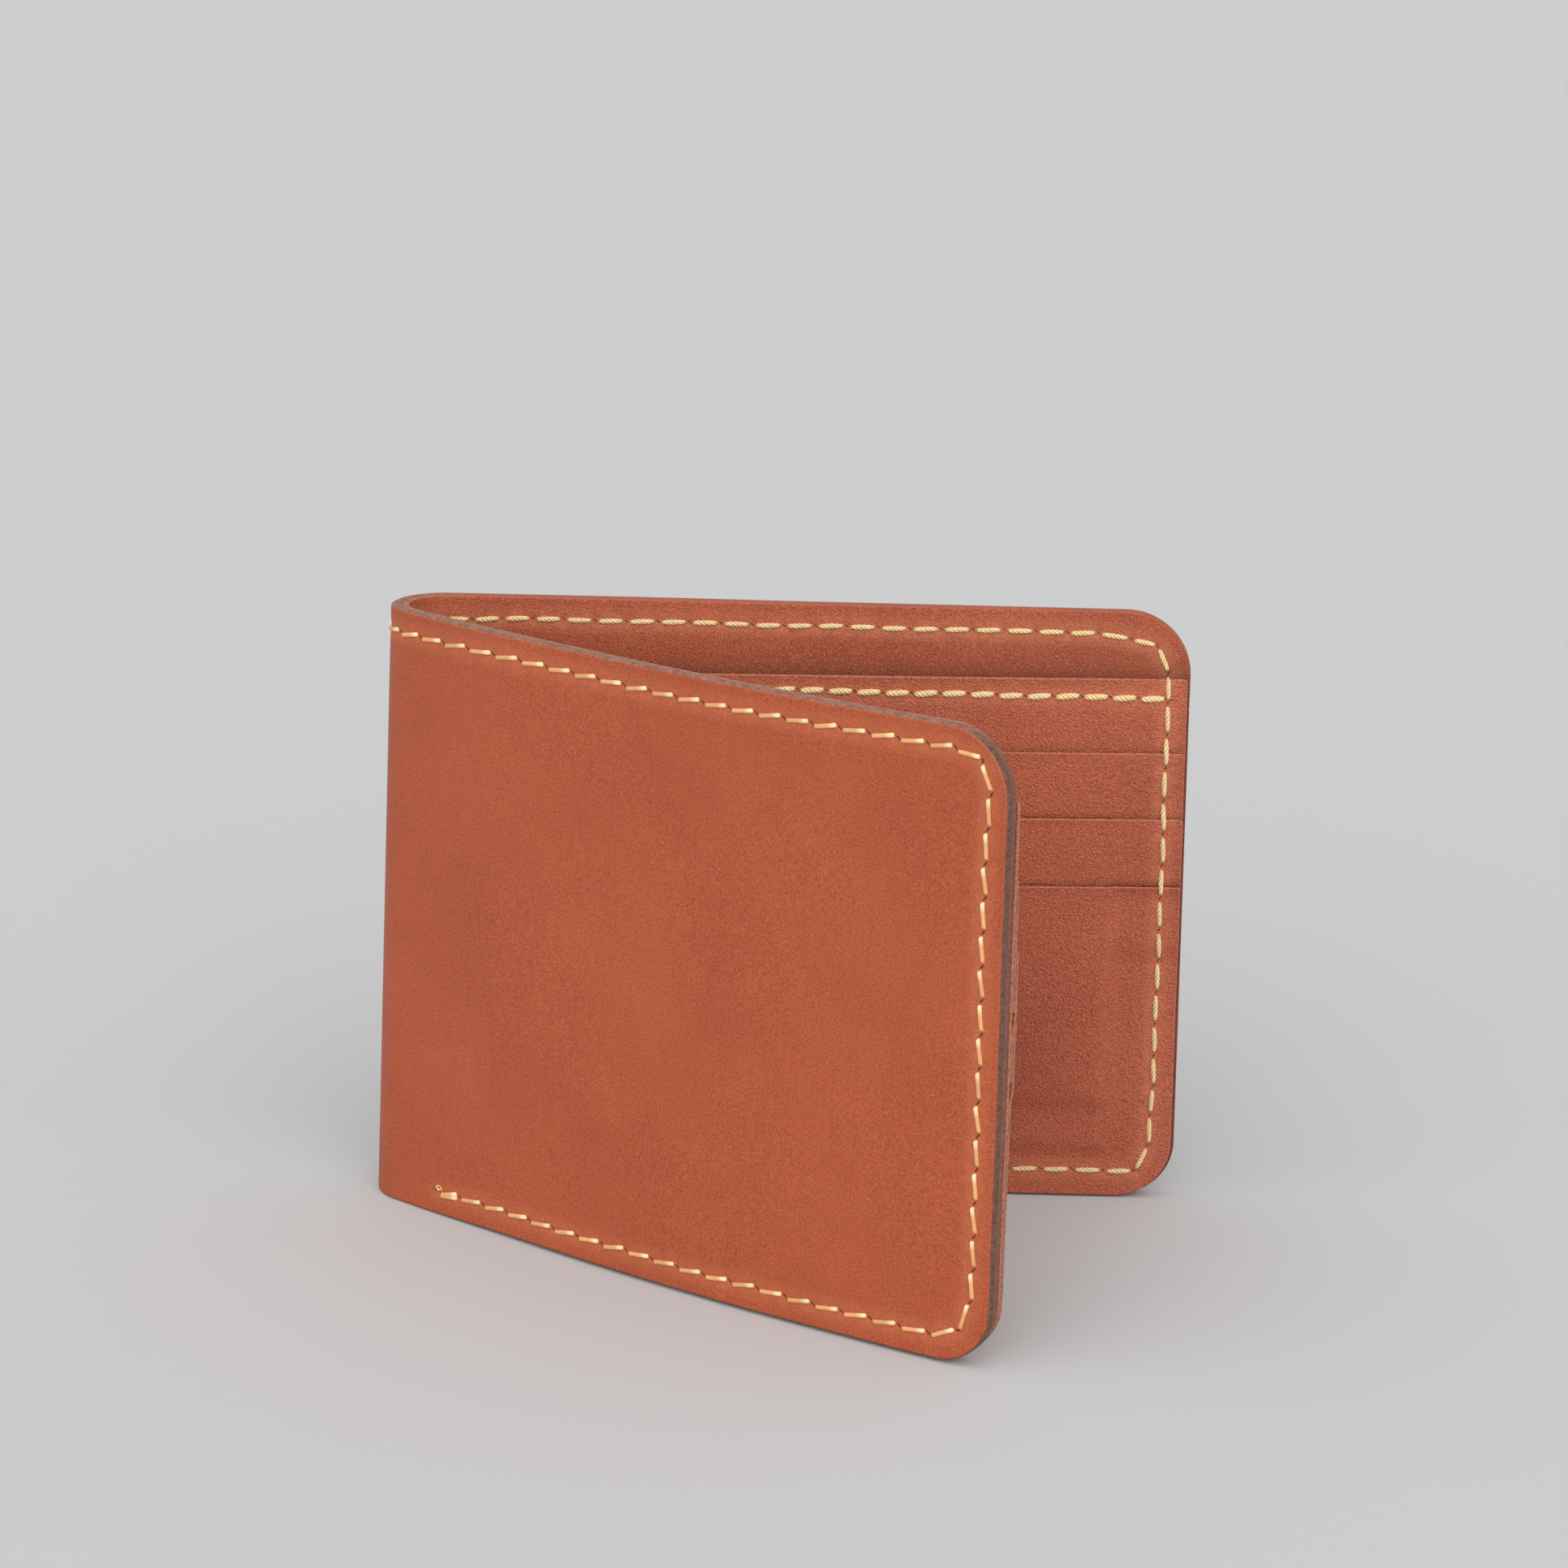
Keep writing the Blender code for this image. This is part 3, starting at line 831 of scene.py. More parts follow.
@dataclass
class Thread:
    """Gathers the stitches of one seam and makes one piece of them."""

    side: Side
    face: Face
    layout: Layout
    points: list[np.ndarray] = field(default_factory=list)
    strand: list[np.ndarray] = field(default_factory=list)
    quads: list[np.ndarray] = field(default_factory=list)
    caps: list[np.ndarray] = field(default_factory=list)
    count: int = 0

    def tube(
        self,
        centre: np.ndarray,
        radius: np.ndarray,
        flat: float,
        sides: int,
        tint: float,
        cord: np.ndarray | None = None,
        highlit_first: bool = False,
    ) -> None:
        """Adds one round tube.

        Args:
            centre: Rows of distance, height and depth.
            radius: Radius at each row.
            flat: Height of the section for a width of 1.
            sides: Number of facets round it.
            tint: Shade of this strand, from 0 to 1.
            cord: Middle of the cord that the strand is twisted round, if there is one.
            highlit_first: Whether its first end is the paler one.
        """
        course = np.gradient(centre, axis=0)
        course /= np.maximum(np.linalg.norm(course, axis=1), 1e-12)[:, None]
        rise = np.array([0.0, 0.0, -1.0 if self.face is Face.OUTER else 1.0])
        across = np.stack([-course[:, 1], course[:, 0], np.zeros(len(course))], axis=-1)
        across /= np.maximum(np.linalg.norm(across, axis=1), 1e-12)[:, None]
        angle = np.arange(sides) / sides * math.tau
        ring = across[:, None, :] * np.cos(angle)[None, :, None]
        ring = ring + rise[None, None, :] * np.sin(angle)[None, :, None] * flat
        points = centre[:, None, :] + ring * radius[:, None, None]
        rows = len(centre)
        # share runs along the strand; the material paints a highlight on its upper or far end
        share = np.repeat(np.linspace(0.0, 1.0, rows)[:, None], sides, axis=1)
        share = 1.0 - share if highlit_first else share
        # proud is low where a ply lies deep between the others; the material paints shade there
        proud = np.ones(share.shape)
        if cord is not None:
            gap = np.linalg.norm(points - cord[:, None, :], axis=-1)
            proud = gap / np.maximum(gap.max(axis=1, keepdims=True), 1e-9)
        strand = np.stack([share, proud, np.full(share.shape, tint)], axis=-1)
        number = self.count + np.arange(rows * sides).reshape(rows, sides)
        turned = np.roll(number, -1, axis=1)
        quads = np.stack([number[:-1], turned[:-1], turned[1:], number[1:]], axis=-1).reshape(-1, 4)
        ends = np.stack([number[0][::-1], number[-1]])
        if (self.side is Side.FRONT) == (self.face is Face.INNER):
            quads, ends = quads[:, ::-1], ends[:, ::-1]
        self.points.append(points.reshape(-1, 3))
        self.strand.append(strand.reshape(-1, 3))
        self.quads.append(quads)
        self.caps.append(ends)
        self.count += rows * sides

    def smooth_stitch(self, path: np.ndarray, width: float, tint: float) -> None:
        """A waxed stitch laid flat, whose plies hardly show, with a painted highlight at its upper or far
        end.

        Args:
            path: Rows of distance, height and depth.
            width: Width of the stitch.
            tint: Its shade, from 0 to 1.
        """
        share = np.linspace(0.0, 1.0, len(path))
        ends = smooth(share / 0.10) * smooth((1 - share) / 0.10)
        highlit_first = bool((path[-1, :2] - path[0, :2]).sum() < 0)
        self.tube(path, width / 2 * (0.62 + 0.38 * ends), 0.82, 12, tint, highlit_first=highlit_first)

    def twisted_stitch(self, path: np.ndarray, width: float, turns: float, tint: float) -> None:
        """A stitch of three twisted plies that tapers to its holes.

        Args:
            path: Rows of distance, height and depth.
            width: Width of the stitch.
            turns: Turns that its plies make.
            tint: Its shade, from 0 to 1.
        """
        share = np.linspace(0.0, 1.0, len(path))
        swell = np.clip(1.0 - np.abs(2 * share - 1) ** 2.5, 0.0, 1.0) ** 0.7
        swell = (0.26 + 0.74 * swell) * (1.06 - 0.12 * share)
        course = np.gradient(path, axis=0)
        across = np.stack([-course[:, 1], course[:, 0], np.zeros(len(course))], axis=-1)
        across /= np.linalg.norm(across, axis=1)[:, None]
        rise = np.array([0.0, 0.0, -1.0 if self.face is Face.OUTER else 1.0])
        hand = 1.0 if self.side is Side.REAR else -1.0
        for ply in range(3):
            angle = hand * (share * turns + ply / 3 + tint) * math.tau
            offset = across * np.cos(angle)[:, None] + rise * np.sin(angle)[:, None]
            core = path + offset * (width * 0.25 * swell)[:, None]
            self.tube(core, width * 0.25 * swell, 1.0, 8, (tint + 0.31 * ply) % 1.0, path)

    def finish(self, name: str) -> bpy.types.Object:
        """Bends all the tubes with the wallet and makes the piece.

        Args:
            name: Name of the piece.

        Returns:
            The piece.
        """
        flat = np.concatenate(self.points)
        u = self.layout.along(self.side, flat[:, 0])
        world = self.layout.place(u, flat[:, 1], flat[:, 2])
        groups: dict[int, list[np.ndarray]] = {}
        for ends in self.caps:
            groups.setdefault(ends.shape[1], []).append(ends)
        caps = [np.concatenate(group) for group in groups.values()]
        piece = build_mesh(name, world, [np.concatenate(self.quads), *caps])
        store(piece, "strand", np.concatenate(self.strand))
        store(piece, "layout", np.stack([u, flat[:, 1], flat[:, 2]], axis=-1))
        log.info("%s: %d points", name, len(flat))
        return piece


@dataclass(frozen=True)
class StitchStyle:
    """How the stitches of a seam lie, in metres."""

    width: float
    gap: float
    slant: float
    lift: float
    dip: float = 0.45 * MM
    twisted: bool = False
    turns: float = 1.9
    steps: int = 26


@dataclass
class Sewing:
    """Sews the seams of one half."""

    side: Side
    layout: Layout
    stack: Stack
    outside: StitchStyle = StitchStyle(width=0.64 * MM, gap=0.34 * MM, slant=0.30 * MM, lift=0.10 * MM)
    inside: StitchStyle = StitchStyle(0.78 * MM, 0.36 * MM, 0.06 * MM, 0.12 * MM, twisted=True, steps=40)
    divider: StitchStyle = StitchStyle(0.96 * MM, 0.20 * MM, 0.14 * MM, 0.18 * MM, twisted=True, steps=40)
    gutter: StitchStyle = StitchStyle(0.55 * MM, 0.38 * MM, 0.05 * MM, 0.10 * MM, twisted=True, steps=30)
    foot: StitchStyle = StitchStyle(0.3 * MM, 0.3 * MM, 0.03 * MM, 0.0, dip=0.1 * MM, steps=14)
    sunk: float = 0.10 * MM

    def _surface(self, face: Face, s: np.ndarray, h: np.ndarray, level: float | None) -> np.ndarray:
        """Depth of the face that a stitch lies on, smoothed where it crosses the edge of a layer.

        Args:
            face: Face of the leather that the stitch lies on.
            s: Distance of the points from the fold.
            h: Height of the points.
            level: Depth that it lies on, or None for the inmost face.

        Returns:
            The depth at each point.
        """
        stack = self.stack
        if face is Face.OUTER:
            return stack.edge.press(s, h) - stack.drape(s, h)
        if level is not None:
            return np.full(s.shape, level) - stack.drape(s, h)
        depth = stack.inner_face(s, h)
        reach = max(2, len(depth) // 7)
        padded = np.pad(depth, reach, mode="edge")
        highest = np.array([padded[k : k + 2 * reach + 1].max() for k in range(len(depth))])
        padded = np.pad(highest, reach, mode="edge")
        eased = np.convolve(padded, np.ones(2 * reach + 1) / (2 * reach + 1), mode="valid")
        return eased - self.sunk - stack.drape(s, h)

    def stitch(
        self,
        thread: Thread,
        style: StitchStyle,
        start: np.ndarray,
        end: np.ndarray,
        index: int,
        level: float | None,
    ) -> None:
        """Adds the stitch between two holes.

        Args:
            thread: Bundle that the stitch goes into.
            style: How it lies.
            start: Distance and height of the first hole.
            end: The same of the second hole.
            index: Its number along the seam, which varies it a little.
            level: Depth that it lies on, or None for the inmost face.
        """
        course = (end - start) / np.hypot(*(end - start))
        left = np.array([-course[1], course[0]])
        vary = math.sin(index * 2.7 + 0.6)
        slant = style.slant * (1.0 + 0.25 * vary)
        first = start + course * style.gap - left * slant
        last = end - course * style.gap + left * slant
        share = np.linspace(0.0, 1.0, style.steps)
        flat = first[None, :] + (last - first)[None, :] * share[:, None]
        flat = flat + left[None, :] * (0.03 * MM * math.sin(index * 1.9) * np.sin(share * math.pi))[:, None]
        rise = smooth(share / 0.11) * smooth((1.0 - share) / 0.11)
        lift = -style.dip + (style.dip + style.lift) * rise
        surface = self._surface(thread.face, flat[:, 0], flat[:, 1], level)
        out = -1.0 if thread.face is Face.OUTER else 1.0
        path = np.stack([flat[:, 0], flat[:, 1], surface + out * lift], axis=-1)
        tint = (index * 0.618) % 1.0
        if style.twisted:
            thread.twisted_stitch(path, style.width, style.turns, tint)
        else:
            thread.smooth_stitch(path, style.width, tint)

    def sew(
        self,
        name: str,
        seam: Seam,
        style: StitchStyle,
        face: Face,
        level: float | None = None,
        skip: int = 0,
    ) -> bpy.types.Object:
        """Sews a whole seam.

        Args:
            name: Name of the piece.
            seam: Holes that it passes.
            style: How its stitches lie.
            face: Face of the leather that they lie on.
            level: Depth that they lie on, or None for the inmost face.
            skip: Number of stitches at the start that the other half's thread makes.

        Returns:
            The piece.
        """
        thread = Thread(self.side, face, self.layout)
        for index, (start, end) in enumerate(zip(seam.holes, seam.holes[1:])):
            if index >= skip:
                self.stitch(thread, style, start, end, index, level)
        if face is Face.OUTER:
            self._back_stitch(thread, seam, style)
        return thread.finish(name)

    def _back_stitch(self, thread: Thread, seam: Seam, style: StitchStyle) -> None:
        """Doubles the last stitches by the fold and leaves the small melted end of the thread.

        Args:
            thread: Bundle that the stitches go into.
            seam: The seam that ends here.
            style: How its stitches lie.
        """
        before, last = seam.holes[-2], seam.holes[-1]
        drop = np.array([0.0, -0.42 * MM])
        self.stitch(thread, style, last + drop * 0.4, before + drop * 1.5, 91, None)
        turn = np.linspace(-0.6, 4.4, 22)
        curl = np.stack([np.cos(turn), np.sin(turn)], axis=-1) * 0.42 * MM
        flat = last + np.array([0.2 * MM, 0.55 * MM]) + curl
        surface = self._surface(Face.OUTER, flat[:, 0], flat[:, 1], None)
        share = np.linspace(0.0, 1.0, len(flat))
        depth = surface - 0.05 * MM - 0.12 * MM * np.sin(share * math.pi)
        knobbly = 0.75 + 0.25 * np.cos(share * 9.0)
        width = 0.20 * MM * knobbly * (1.0 + 0.35 * smooth((share - 0.8) / 0.2))
        thread.tube(np.stack([flat[:, 0], flat[:, 1], depth], axis=-1), width, 0.9, 10, 0.97)


@dataclass(frozen=True)
class LeatherFinish:
    """Colours and grain of one kind of leather. Colours are linear, lengths are in millimetres.

    The rear burnish is how much of the burnish is left on the rear half, and the free edge is how light
    the handled edge of the front half stays. The pebble shade is painted shade and painted highlight:
    lighter on the tops of the pebbles and darker between them.
    """

    light: tuple[float, float, float]
    base: tuple[float, float, float]
    dark: tuple[float, float, float]
    speck: tuple[float, float, float]
    speck_share: float
    pebble: float
    pebble_depth: float
    pebble_shade: float
    streaks: float
    roughness: float
    edge_dark: tuple[float, float, float]
    edge_light: tuple[float, float, float]
    rear_burnish: float
    free_edge: float


@dataclass(frozen=True)
class ThreadFinish:
    """Colours of one kind of thread. Colours are linear; the pale end colour is a painted highlight, the
    groove colour painted shade.
    """

    body: tuple[float, float, float]
    bright: tuple[float, float, float]
    groove: tuple[float, float, float]
    end_highlight: float
    roughness: float


SHELL_FINISH = LeatherFinish(
    light=(0.440, 0.090, 0.033),
    base=(0.405, 0.078, 0.027),
    dark=(0.365, 0.067, 0.023),
    speck=(0.62, 0.19, 0.080),
    speck_share=0.34,
    pebble=0.34,
    pebble_depth=0.014,
    pebble_shade=0.06,
    streaks=0.16,
    roughness=0.50,
    edge_dark=(0.150, 0.052, 0.032),
    edge_light=(0.43, 0.195, 0.120),
    rear_burnish=0.28,
    free_edge=0.50,
)
LINING_FINISH = LeatherFinish(
    light=(0.470, 0.102, 0.041),
    base=(0.412, 0.083, 0.033),
    dark=(0.348, 0.064, 0.025),
    speck=(0.68, 0.26, 0.13),
    speck_share=0.55,
    pebble=0.26,
    pebble_depth=0.070,
    pebble_shade=0.16,
    streaks=0.05,
    roughness=0.56,
    edge_dark=(0.220, 0.080, 0.050),
    edge_light=(0.48, 0.220, 0.140),
    rear_burnish=0.28,
    free_edge=0.55,
)
POCKET_FINISH = LeatherFinish(
    light=(0.520, 0.120, 0.056),
    base=(0.466, 0.103, 0.048),
    dark=(0.384, 0.080, 0.037),
    speck=(0.66, 0.23, 0.12),
    speck_share=0.38,
    pebble=0.30,
    pebble_depth=0.130,
    pebble_shade=0.19,
    streaks=0.05,
    roughness=0.48,
    edge_dark=(0.30, 0.100, 0.058),
    edge_light=(0.66, 0.29, 0.18),
    rear_burnish=0.85,
    free_edge=0.82,
)
OUTER_THREAD = ThreadFinish(
    body=(0.76, 0.39, 0.150),
    bright=(0.92, 0.73, 0.41),
    groove=(0.42, 0.17, 0.05),
    end_highlight=1.0,
    roughness=0.42,
)
INNER_THREAD = ThreadFinish(
    body=(0.89, 0.70, 0.36),
    bright=(0.97, 0.83, 0.55),
    groove=(0.46, 0.29, 0.11),
    end_highlight=0.25,
    roughness=0.55,
)


def leather_material(name: str, finish: LeatherFinish) -> bpy.types.Material:
    """Leather with grain, specks, clouds, sewing slits, painted shade and highlight, and burnished edges.

    Args:
        name: Name of the material.
        finish: Its colours and grain.

    Returns:
        The material.
    """
    material = bpy.data.materials.new(name)
    material.use_nodes = True
    tree = material.node_tree
    nodes, links = tree.nodes, tree.links
    nodes.clear()

    place_frame = nodes.new("NodeFrame")
    place_frame.label = "Place on the hide"
    grain_frame = nodes.new("NodeFrame")
    grain_frame.label = "Grain and pores"
    colour_frame = nodes.new("NodeFrame")
    colour_frame.label = "Colour of the dyed face"
    seam_frame = nodes.new("NodeFrame")
    seam_frame.label = "Slits and tension at the stitches"
    edge_frame = nodes.new("NodeFrame")
    edge_frame.label = "Burnished edge"
    surface_frame = nodes.new("NodeFrame")
    surface_frame.label = "Surface"

    # Place on the hide, in millimetres
    hide = nodes.new("ShaderNodeAttribute")
    hide.label = "Place on the hide"
    hide.attribute_type = "GEOMETRY"
    hide.attribute_name = "layout"

    ruler = nodes.new("ShaderNodeVectorMath")
    ruler.label = "Millimetres"
    ruler.operation = "SCALE"
    ruler.inputs["Scale"].default_value = 1000.0

    stretch = nodes.new("ShaderNodeMapping")
    stretch.label = "Stretched up the hide"
    stretch.inputs["Scale"].default_value = (1.5, 0.16, 0.5)

    # Grain and pores
    fine = nodes.new("ShaderNodeTexNoise")
    fine.label = "Fine grain"
    fine.inputs["Scale"].default_value = 3.4
    fine.inputs["Detail"].default_value = 3.0
    fine.inputs["Roughness"].default_value = 0.62

    pebble = nodes.new("ShaderNodeTexVoronoi")
    pebble.label = "Pebbles"
    pebble.feature = "SMOOTH_F1"
    pebble.inputs["Scale"].default_value = 1.0 / finish.pebble
    pebble.inputs["Smoothness"].default_value = 0.6
    pebble.inputs["Randomness"].default_value = 1.0

    creases = nodes.new("ShaderNodeTexNoise")
    creases.label = "Hair creases"
    creases.noise_type = "RIDGED_MULTIFRACTAL"
    creases.inputs["Scale"].default_value = 0.75 / finish.pebble
    creases.inputs["Detail"].default_value = 2.0
    creases.inputs["Roughness"].default_value = 0.5

    pores = nodes.new("ShaderNodeTexVoronoi")
    pores.label = "Pores"
    pores.inputs["Scale"].default_value = 1.15

    pore_mask = nodes.new("ShaderNodeMapRange")
    pore_mask.label = "Only the pore centres"
    pore_mask.inputs["From Min"].default_value = 0.16
    pore_mask.inputs["From Max"].default_value = 0.06

    # Colour of the dyed face
    clouds = nodes.new("ShaderNodeTexNoise")
    clouds.label = "Clouds in the dye"
    clouds.inputs["Scale"].default_value = 0.034
    clouds.inputs["Detail"].default_value = 5.0
    clouds.inputs["Roughness"].default_value = 0.62

    streaks = nodes.new("ShaderNodeTexNoise")
    streaks.label = "Fibres up the hide"
    streaks.inputs["Scale"].default_value = 1.0
    streaks.inputs["Detail"].default_value = 4.0
    streaks.inputs["Roughness"].default_value = 0.6

    specks = nodes.new("ShaderNodeTexNoise")
    specks.label = "Pale specks"
    specks.inputs["Scale"].default_value = 4.6
    specks.inputs["Detail"].default_value = 1.0
    specks.inputs["Roughness"].default_value = 0.5

    cloud_ramp = nodes.new("ShaderNodeValToRGB")
    cloud_ramp.label = "Dye from thin to full"
    cloud_ramp.color_ramp.elements[0].position = 0.30
    cloud_ramp.color_ramp.elements[0].color = (*finish.dark, 1.0)
    cloud_ramp.color_ramp.elements[1].position = 0.74
    cloud_ramp.color_ramp.elements[1].color = (*finish.light, 1.0)
    middle = cloud_ramp.color_ramp.elements.new(0.50)
    middle.color = (*finish.base, 1.0)

    streak_level = nodes.new("ShaderNodeMapRange")
    streak_level.label = "Strength of the fibres"
    streak_level.inputs["From Min"].default_value = 0.3
    streak_level.inputs["From Max"].default_value = 0.7
    streak_level.inputs["To Min"].default_value = 1.0 - 0.28 * finish.streaks
    streak_level.inputs["To Max"].default_value = 1.0 + 0.28 * finish.streaks

    streaked = nodes.new("ShaderNodeVectorMath")
    streaked.label = "Dye on the fibres"
    streaked.operation = "SCALE"

    grain_level = nodes.new("ShaderNodeMapRange")
    grain_level.label = "Dark between the grains"
    grain_level.inputs["From Min"].default_value = 0.30
    grain_level.inputs["From Max"].default_value = 0.70
    grain_level.inputs["To Min"].default_value = 0.68
    grain_level.inputs["To Max"].default_value = 1.28

    grained = nodes.new("ShaderNodeVectorMath")
    grained.label = "Dye on the grain"
    grained.operation = "SCALE"

    # Painted shade and painted highlight: lighter on the pebble tops and darker between the pebbles
    pebble_level = nodes.new("ShaderNodeMapRange")
    pebble_level.label = "Dark between the pebbles"
    pebble_level.inputs["From Min"].default_value = 0.15
    pebble_level.inputs["From Max"].default_value = 0.60
    pebble_level.inputs["To Min"].default_value = 1.0 + 0.6 * finish.pebble_shade
    pebble_level.inputs["To Max"].default_value = 1.0 - 1.2 * finish.pebble_shade

    pebbled = nodes.new("ShaderNodeVectorMath")
    pebbled.label = "Dye on the pebbles"
    pebbled.operation = "SCALE"

    speck_mask = nodes.new("ShaderNodeMapRange")
    speck_mask.label = "Only the brightest specks"
    speck_mask.inputs["From Min"].default_value = 0.56
    speck_mask.inputs["From Max"].default_value = 0.70
    speck_mask.inputs["To Max"].default_value = finish.speck_share

    specked = nodes.new("ShaderNodeMix")
    specked.label = "Specks on the dye"
    specked.data_type = "RGBA"
    specked.inputs["B"].default_value = (*finish.speck, 1.0)

    pore_shade = nodes.new("ShaderNodeMath")
    pore_shade.label = "Faint pores"
    pore_shade.operation = "MULTIPLY"
    pore_shade.inputs[1].default_value = 0.22

    pored = nodes.new("ShaderNodeMix")
    pored.label = "Pores in the dye"
    pored.data_type = "RGBA"
    pored.inputs["B"].default_value = (*(0.45 * c for c in finish.dark), 1.0)

    links.new(hide.outputs["Vector"], ruler.inputs[0])
    links.new(ruler.outputs["Vector"], stretch.inputs["Vector"])
    links.new(ruler.outputs["Vector"], fine.inputs["Vector"])
    links.new(ruler.outputs["Vector"], pebble.inputs["Vector"])
    links.new(ruler.outputs["Vector"], creases.inputs["Vector"])
    links.new(ruler.outputs["Vector"], pores.inputs["Vector"])
    links.new(ruler.outputs["Vector"], clouds.inputs["Vector"])
    links.new(ruler.outputs["Vector"], specks.inputs["Vector"])
    links.new(stretch.outputs["Vector"], streaks.inputs["Vector"])
    links.new(pores.outputs["Distance"], pore_mask.inputs["Value"])
    links.new(clouds.outputs["Fac"], cloud_ramp.inputs["Fac"])
    links.new(streaks.outputs["Fac"], streak_level.inputs["Value"])
    links.new(cloud_ramp.outputs["Color"], streaked.inputs[0])
    links.new(streak_level.outputs["Result"], streaked.inputs["Scale"])
    links.new(fine.outputs["Fac"], grain_level.inputs["Value"])
    links.new(streaked.outputs["Vector"], grained.inputs[0])
    links.new(grain_level.outputs["Result"], grained.inputs["Scale"])
    links.new(specks.outputs["Fac"], speck_mask.inputs["Value"])
    links.new(speck_mask.outputs["Result"], specked.inputs["Factor"])
    links.new(pebble.outputs["Distance"], pebble_level.inputs["Value"])
    links.new(grained.outputs["Vector"], pebbled.inputs[0])
    links.new(pebble_level.outputs["Result"], pebbled.inputs["Scale"])
    links.new(pebbled.outputs["Vector"], specked.inputs["A"])
    links.new(pore_mask.outputs["Result"], pore_shade.inputs[0])
    links.new(pore_shade.outputs["Value"], pored.inputs["Factor"])
    links.new(specked.outputs["Result"], pored.inputs["A"])

    # Slits and tension at the stitches, once for each seam; the dark in the slits is painted shade
    slit_masks = []
    halo_masks = []
    seams = (("edge_seam", 4.65, -38.0, -700), ("divider_seam", 4.1, -30.0, -1320))
    for seam_name, pitch, slant, level in seams:
        seam = nodes.new("ShaderNodeAttribute")
        seam.label = f"Place beside the {seam_name.replace('_', ' ')}"
        seam.attribute_type = "GEOMETRY"
        seam.attribute_name = seam_name

        split = nodes.new("ShaderNodeSeparateXYZ")
        split.label = "Holes passed, distance across, face"

        nearest = nodes.new("ShaderNodeMath")
        nearest.label = "Nearest hole"
        nearest.operation = "ROUND"

        from_hole = nodes.new("ShaderNodeMath")
        from_hole.label = "Share of a stitch from it"
        from_hole.operation = "SUBTRACT"

        along = nodes.new("ShaderNodeMath")
        along.label = "Millimetres along"
        along.operation = "MULTIPLY"
        along.inputs[1].default_value = pitch

        across = nodes.new("ShaderNodeMath")
        across.label = "Millimetres across"
        across.operation = "MULTIPLY"
        across.inputs[1].default_value = 1000.0

        spot = nodes.new("ShaderNodeCombineXYZ")
        spot.label = "Place round the hole"

        turned = nodes.new("ShaderNodeMapping")
        turned.label = "Turned with the awl's slit"
        turned.vector_type = "TEXTURE"
        turned.inputs["Rotation"].default_value = (0.0, 0.0, math.radians(slant))
        turned.inputs["Scale"].default_value = (0.46, 0.125, 1.0)

        finer = nodes.new("ShaderNodeMapRange")
        finer.label = "Finer slits inside"
        finer.inputs["To Min"].default_value = 1.0
        finer.inputs["To Max"].default_value = 1.45

        narrowed = nodes.new("ShaderNodeMath")
        narrowed.label = "Distance, wider inside"
        narrowed.operation = "MULTIPLY"

        reach = nodes.new("ShaderNodeVectorMath")
        reach.label = "Distance from the slit"
        reach.operation = "LENGTH"

        slit = nodes.new("ShaderNodeMapRange")
        slit.label = "Slit"
        slit.interpolation_type = "SMOOTHSTEP"
        slit.inputs["From Min"].default_value = 1.25
        slit.inputs["From Max"].default_value = 0.55

        aside = nodes.new("ShaderNodeMath")
        aside.label = "Distance from the seam"
        aside.operation = "ABSOLUTE"

        halo = nodes.new("ShaderNodeMapRange")
        halo.label = "Stretched leather by the seam"
        halo.interpolation_type = "SMOOTHSTEP"
        halo.inputs["From Min"].default_value = 2.6
        halo.inputs["From Max"].default_value = 0.4

        links.new(seam.outputs["Vector"], split.inputs["Vector"])
        links.new(split.outputs["X"], nearest.inputs[0])
        links.new(split.outputs["X"], from_hole.inputs[0])
        links.new(nearest.outputs["Value"], from_hole.inputs[1])
        links.new(from_hole.outputs["Value"], along.inputs[0])
        links.new(split.outputs["Y"], across.inputs[0])
        links.new(along.outputs["Value"], spot.inputs["X"])
        links.new(across.outputs["Value"], spot.inputs["Y"])
        links.new(spot.outputs["Vector"], turned.inputs["Vector"])
        links.new(turned.outputs["Vector"], reach.inputs[0])
        links.new(split.outputs["Z"], finer.inputs["Value"])
        links.new(reach.outputs["Value"], narrowed.inputs[0])
        links.new(finer.outputs["Result"], narrowed.inputs[1])
        links.new(narrowed.outputs["Value"], slit.inputs["Value"])
        links.new(across.outputs["Value"], aside.inputs[0])
        links.new(aside.outputs["Value"], halo.inputs["Value"])
        slit_masks.append(slit)
        halo_masks.append(halo)
        for node, x, y in (
            (seam, -2400, 0), (split, -2200, 0), (nearest, -2000, 0), (from_hole, -1820, 0),
            (along, -1640, 0), (across, -1640, -180), (spot, -1460, 0), (turned, -1280, 0),
            (finer, -1280, -560), (narrowed, -980, -200), (reach, -1080, 0), (slit, -900, 0),
            (aside, -1460, -220), (halo, -1280, -340),
        ):
            node.location = (x, level + y)
            node.parent = seam_frame

    slits = nodes.new("ShaderNodeMath")
    slits.label = "All slits"
    slits.operation = "MAXIMUM"

    halos = nodes.new("ShaderNodeMath")
    halos.label = "Leather by both seams"
    halos.operation = "MAXIMUM"

    halo_noise = nodes.new("ShaderNodeTexNoise")
    halo_noise.label = "Uneven stretch"
    halo_noise.inputs["Scale"].default_value = 0.9
    halo_noise.inputs["Detail"].default_value = 3.0

    halo_share = nodes.new("ShaderNodeMath")
    halo_share.label = "Uneven halo"
    halo_share.operation = "MULTIPLY"

    haloed = nodes.new("ShaderNodeMix")
    haloed.label = "Paler by the seams"
    haloed.data_type = "RGBA"
    haloed.inputs["B"].default_value = (*finish.speck, 1.0)

    halo_strength = nodes.new("ShaderNodeMath")
    halo_strength.label = "Strength of the halo"
    halo_strength.operation = "MULTIPLY"
    halo_strength.inputs[1].default_value = 0.50

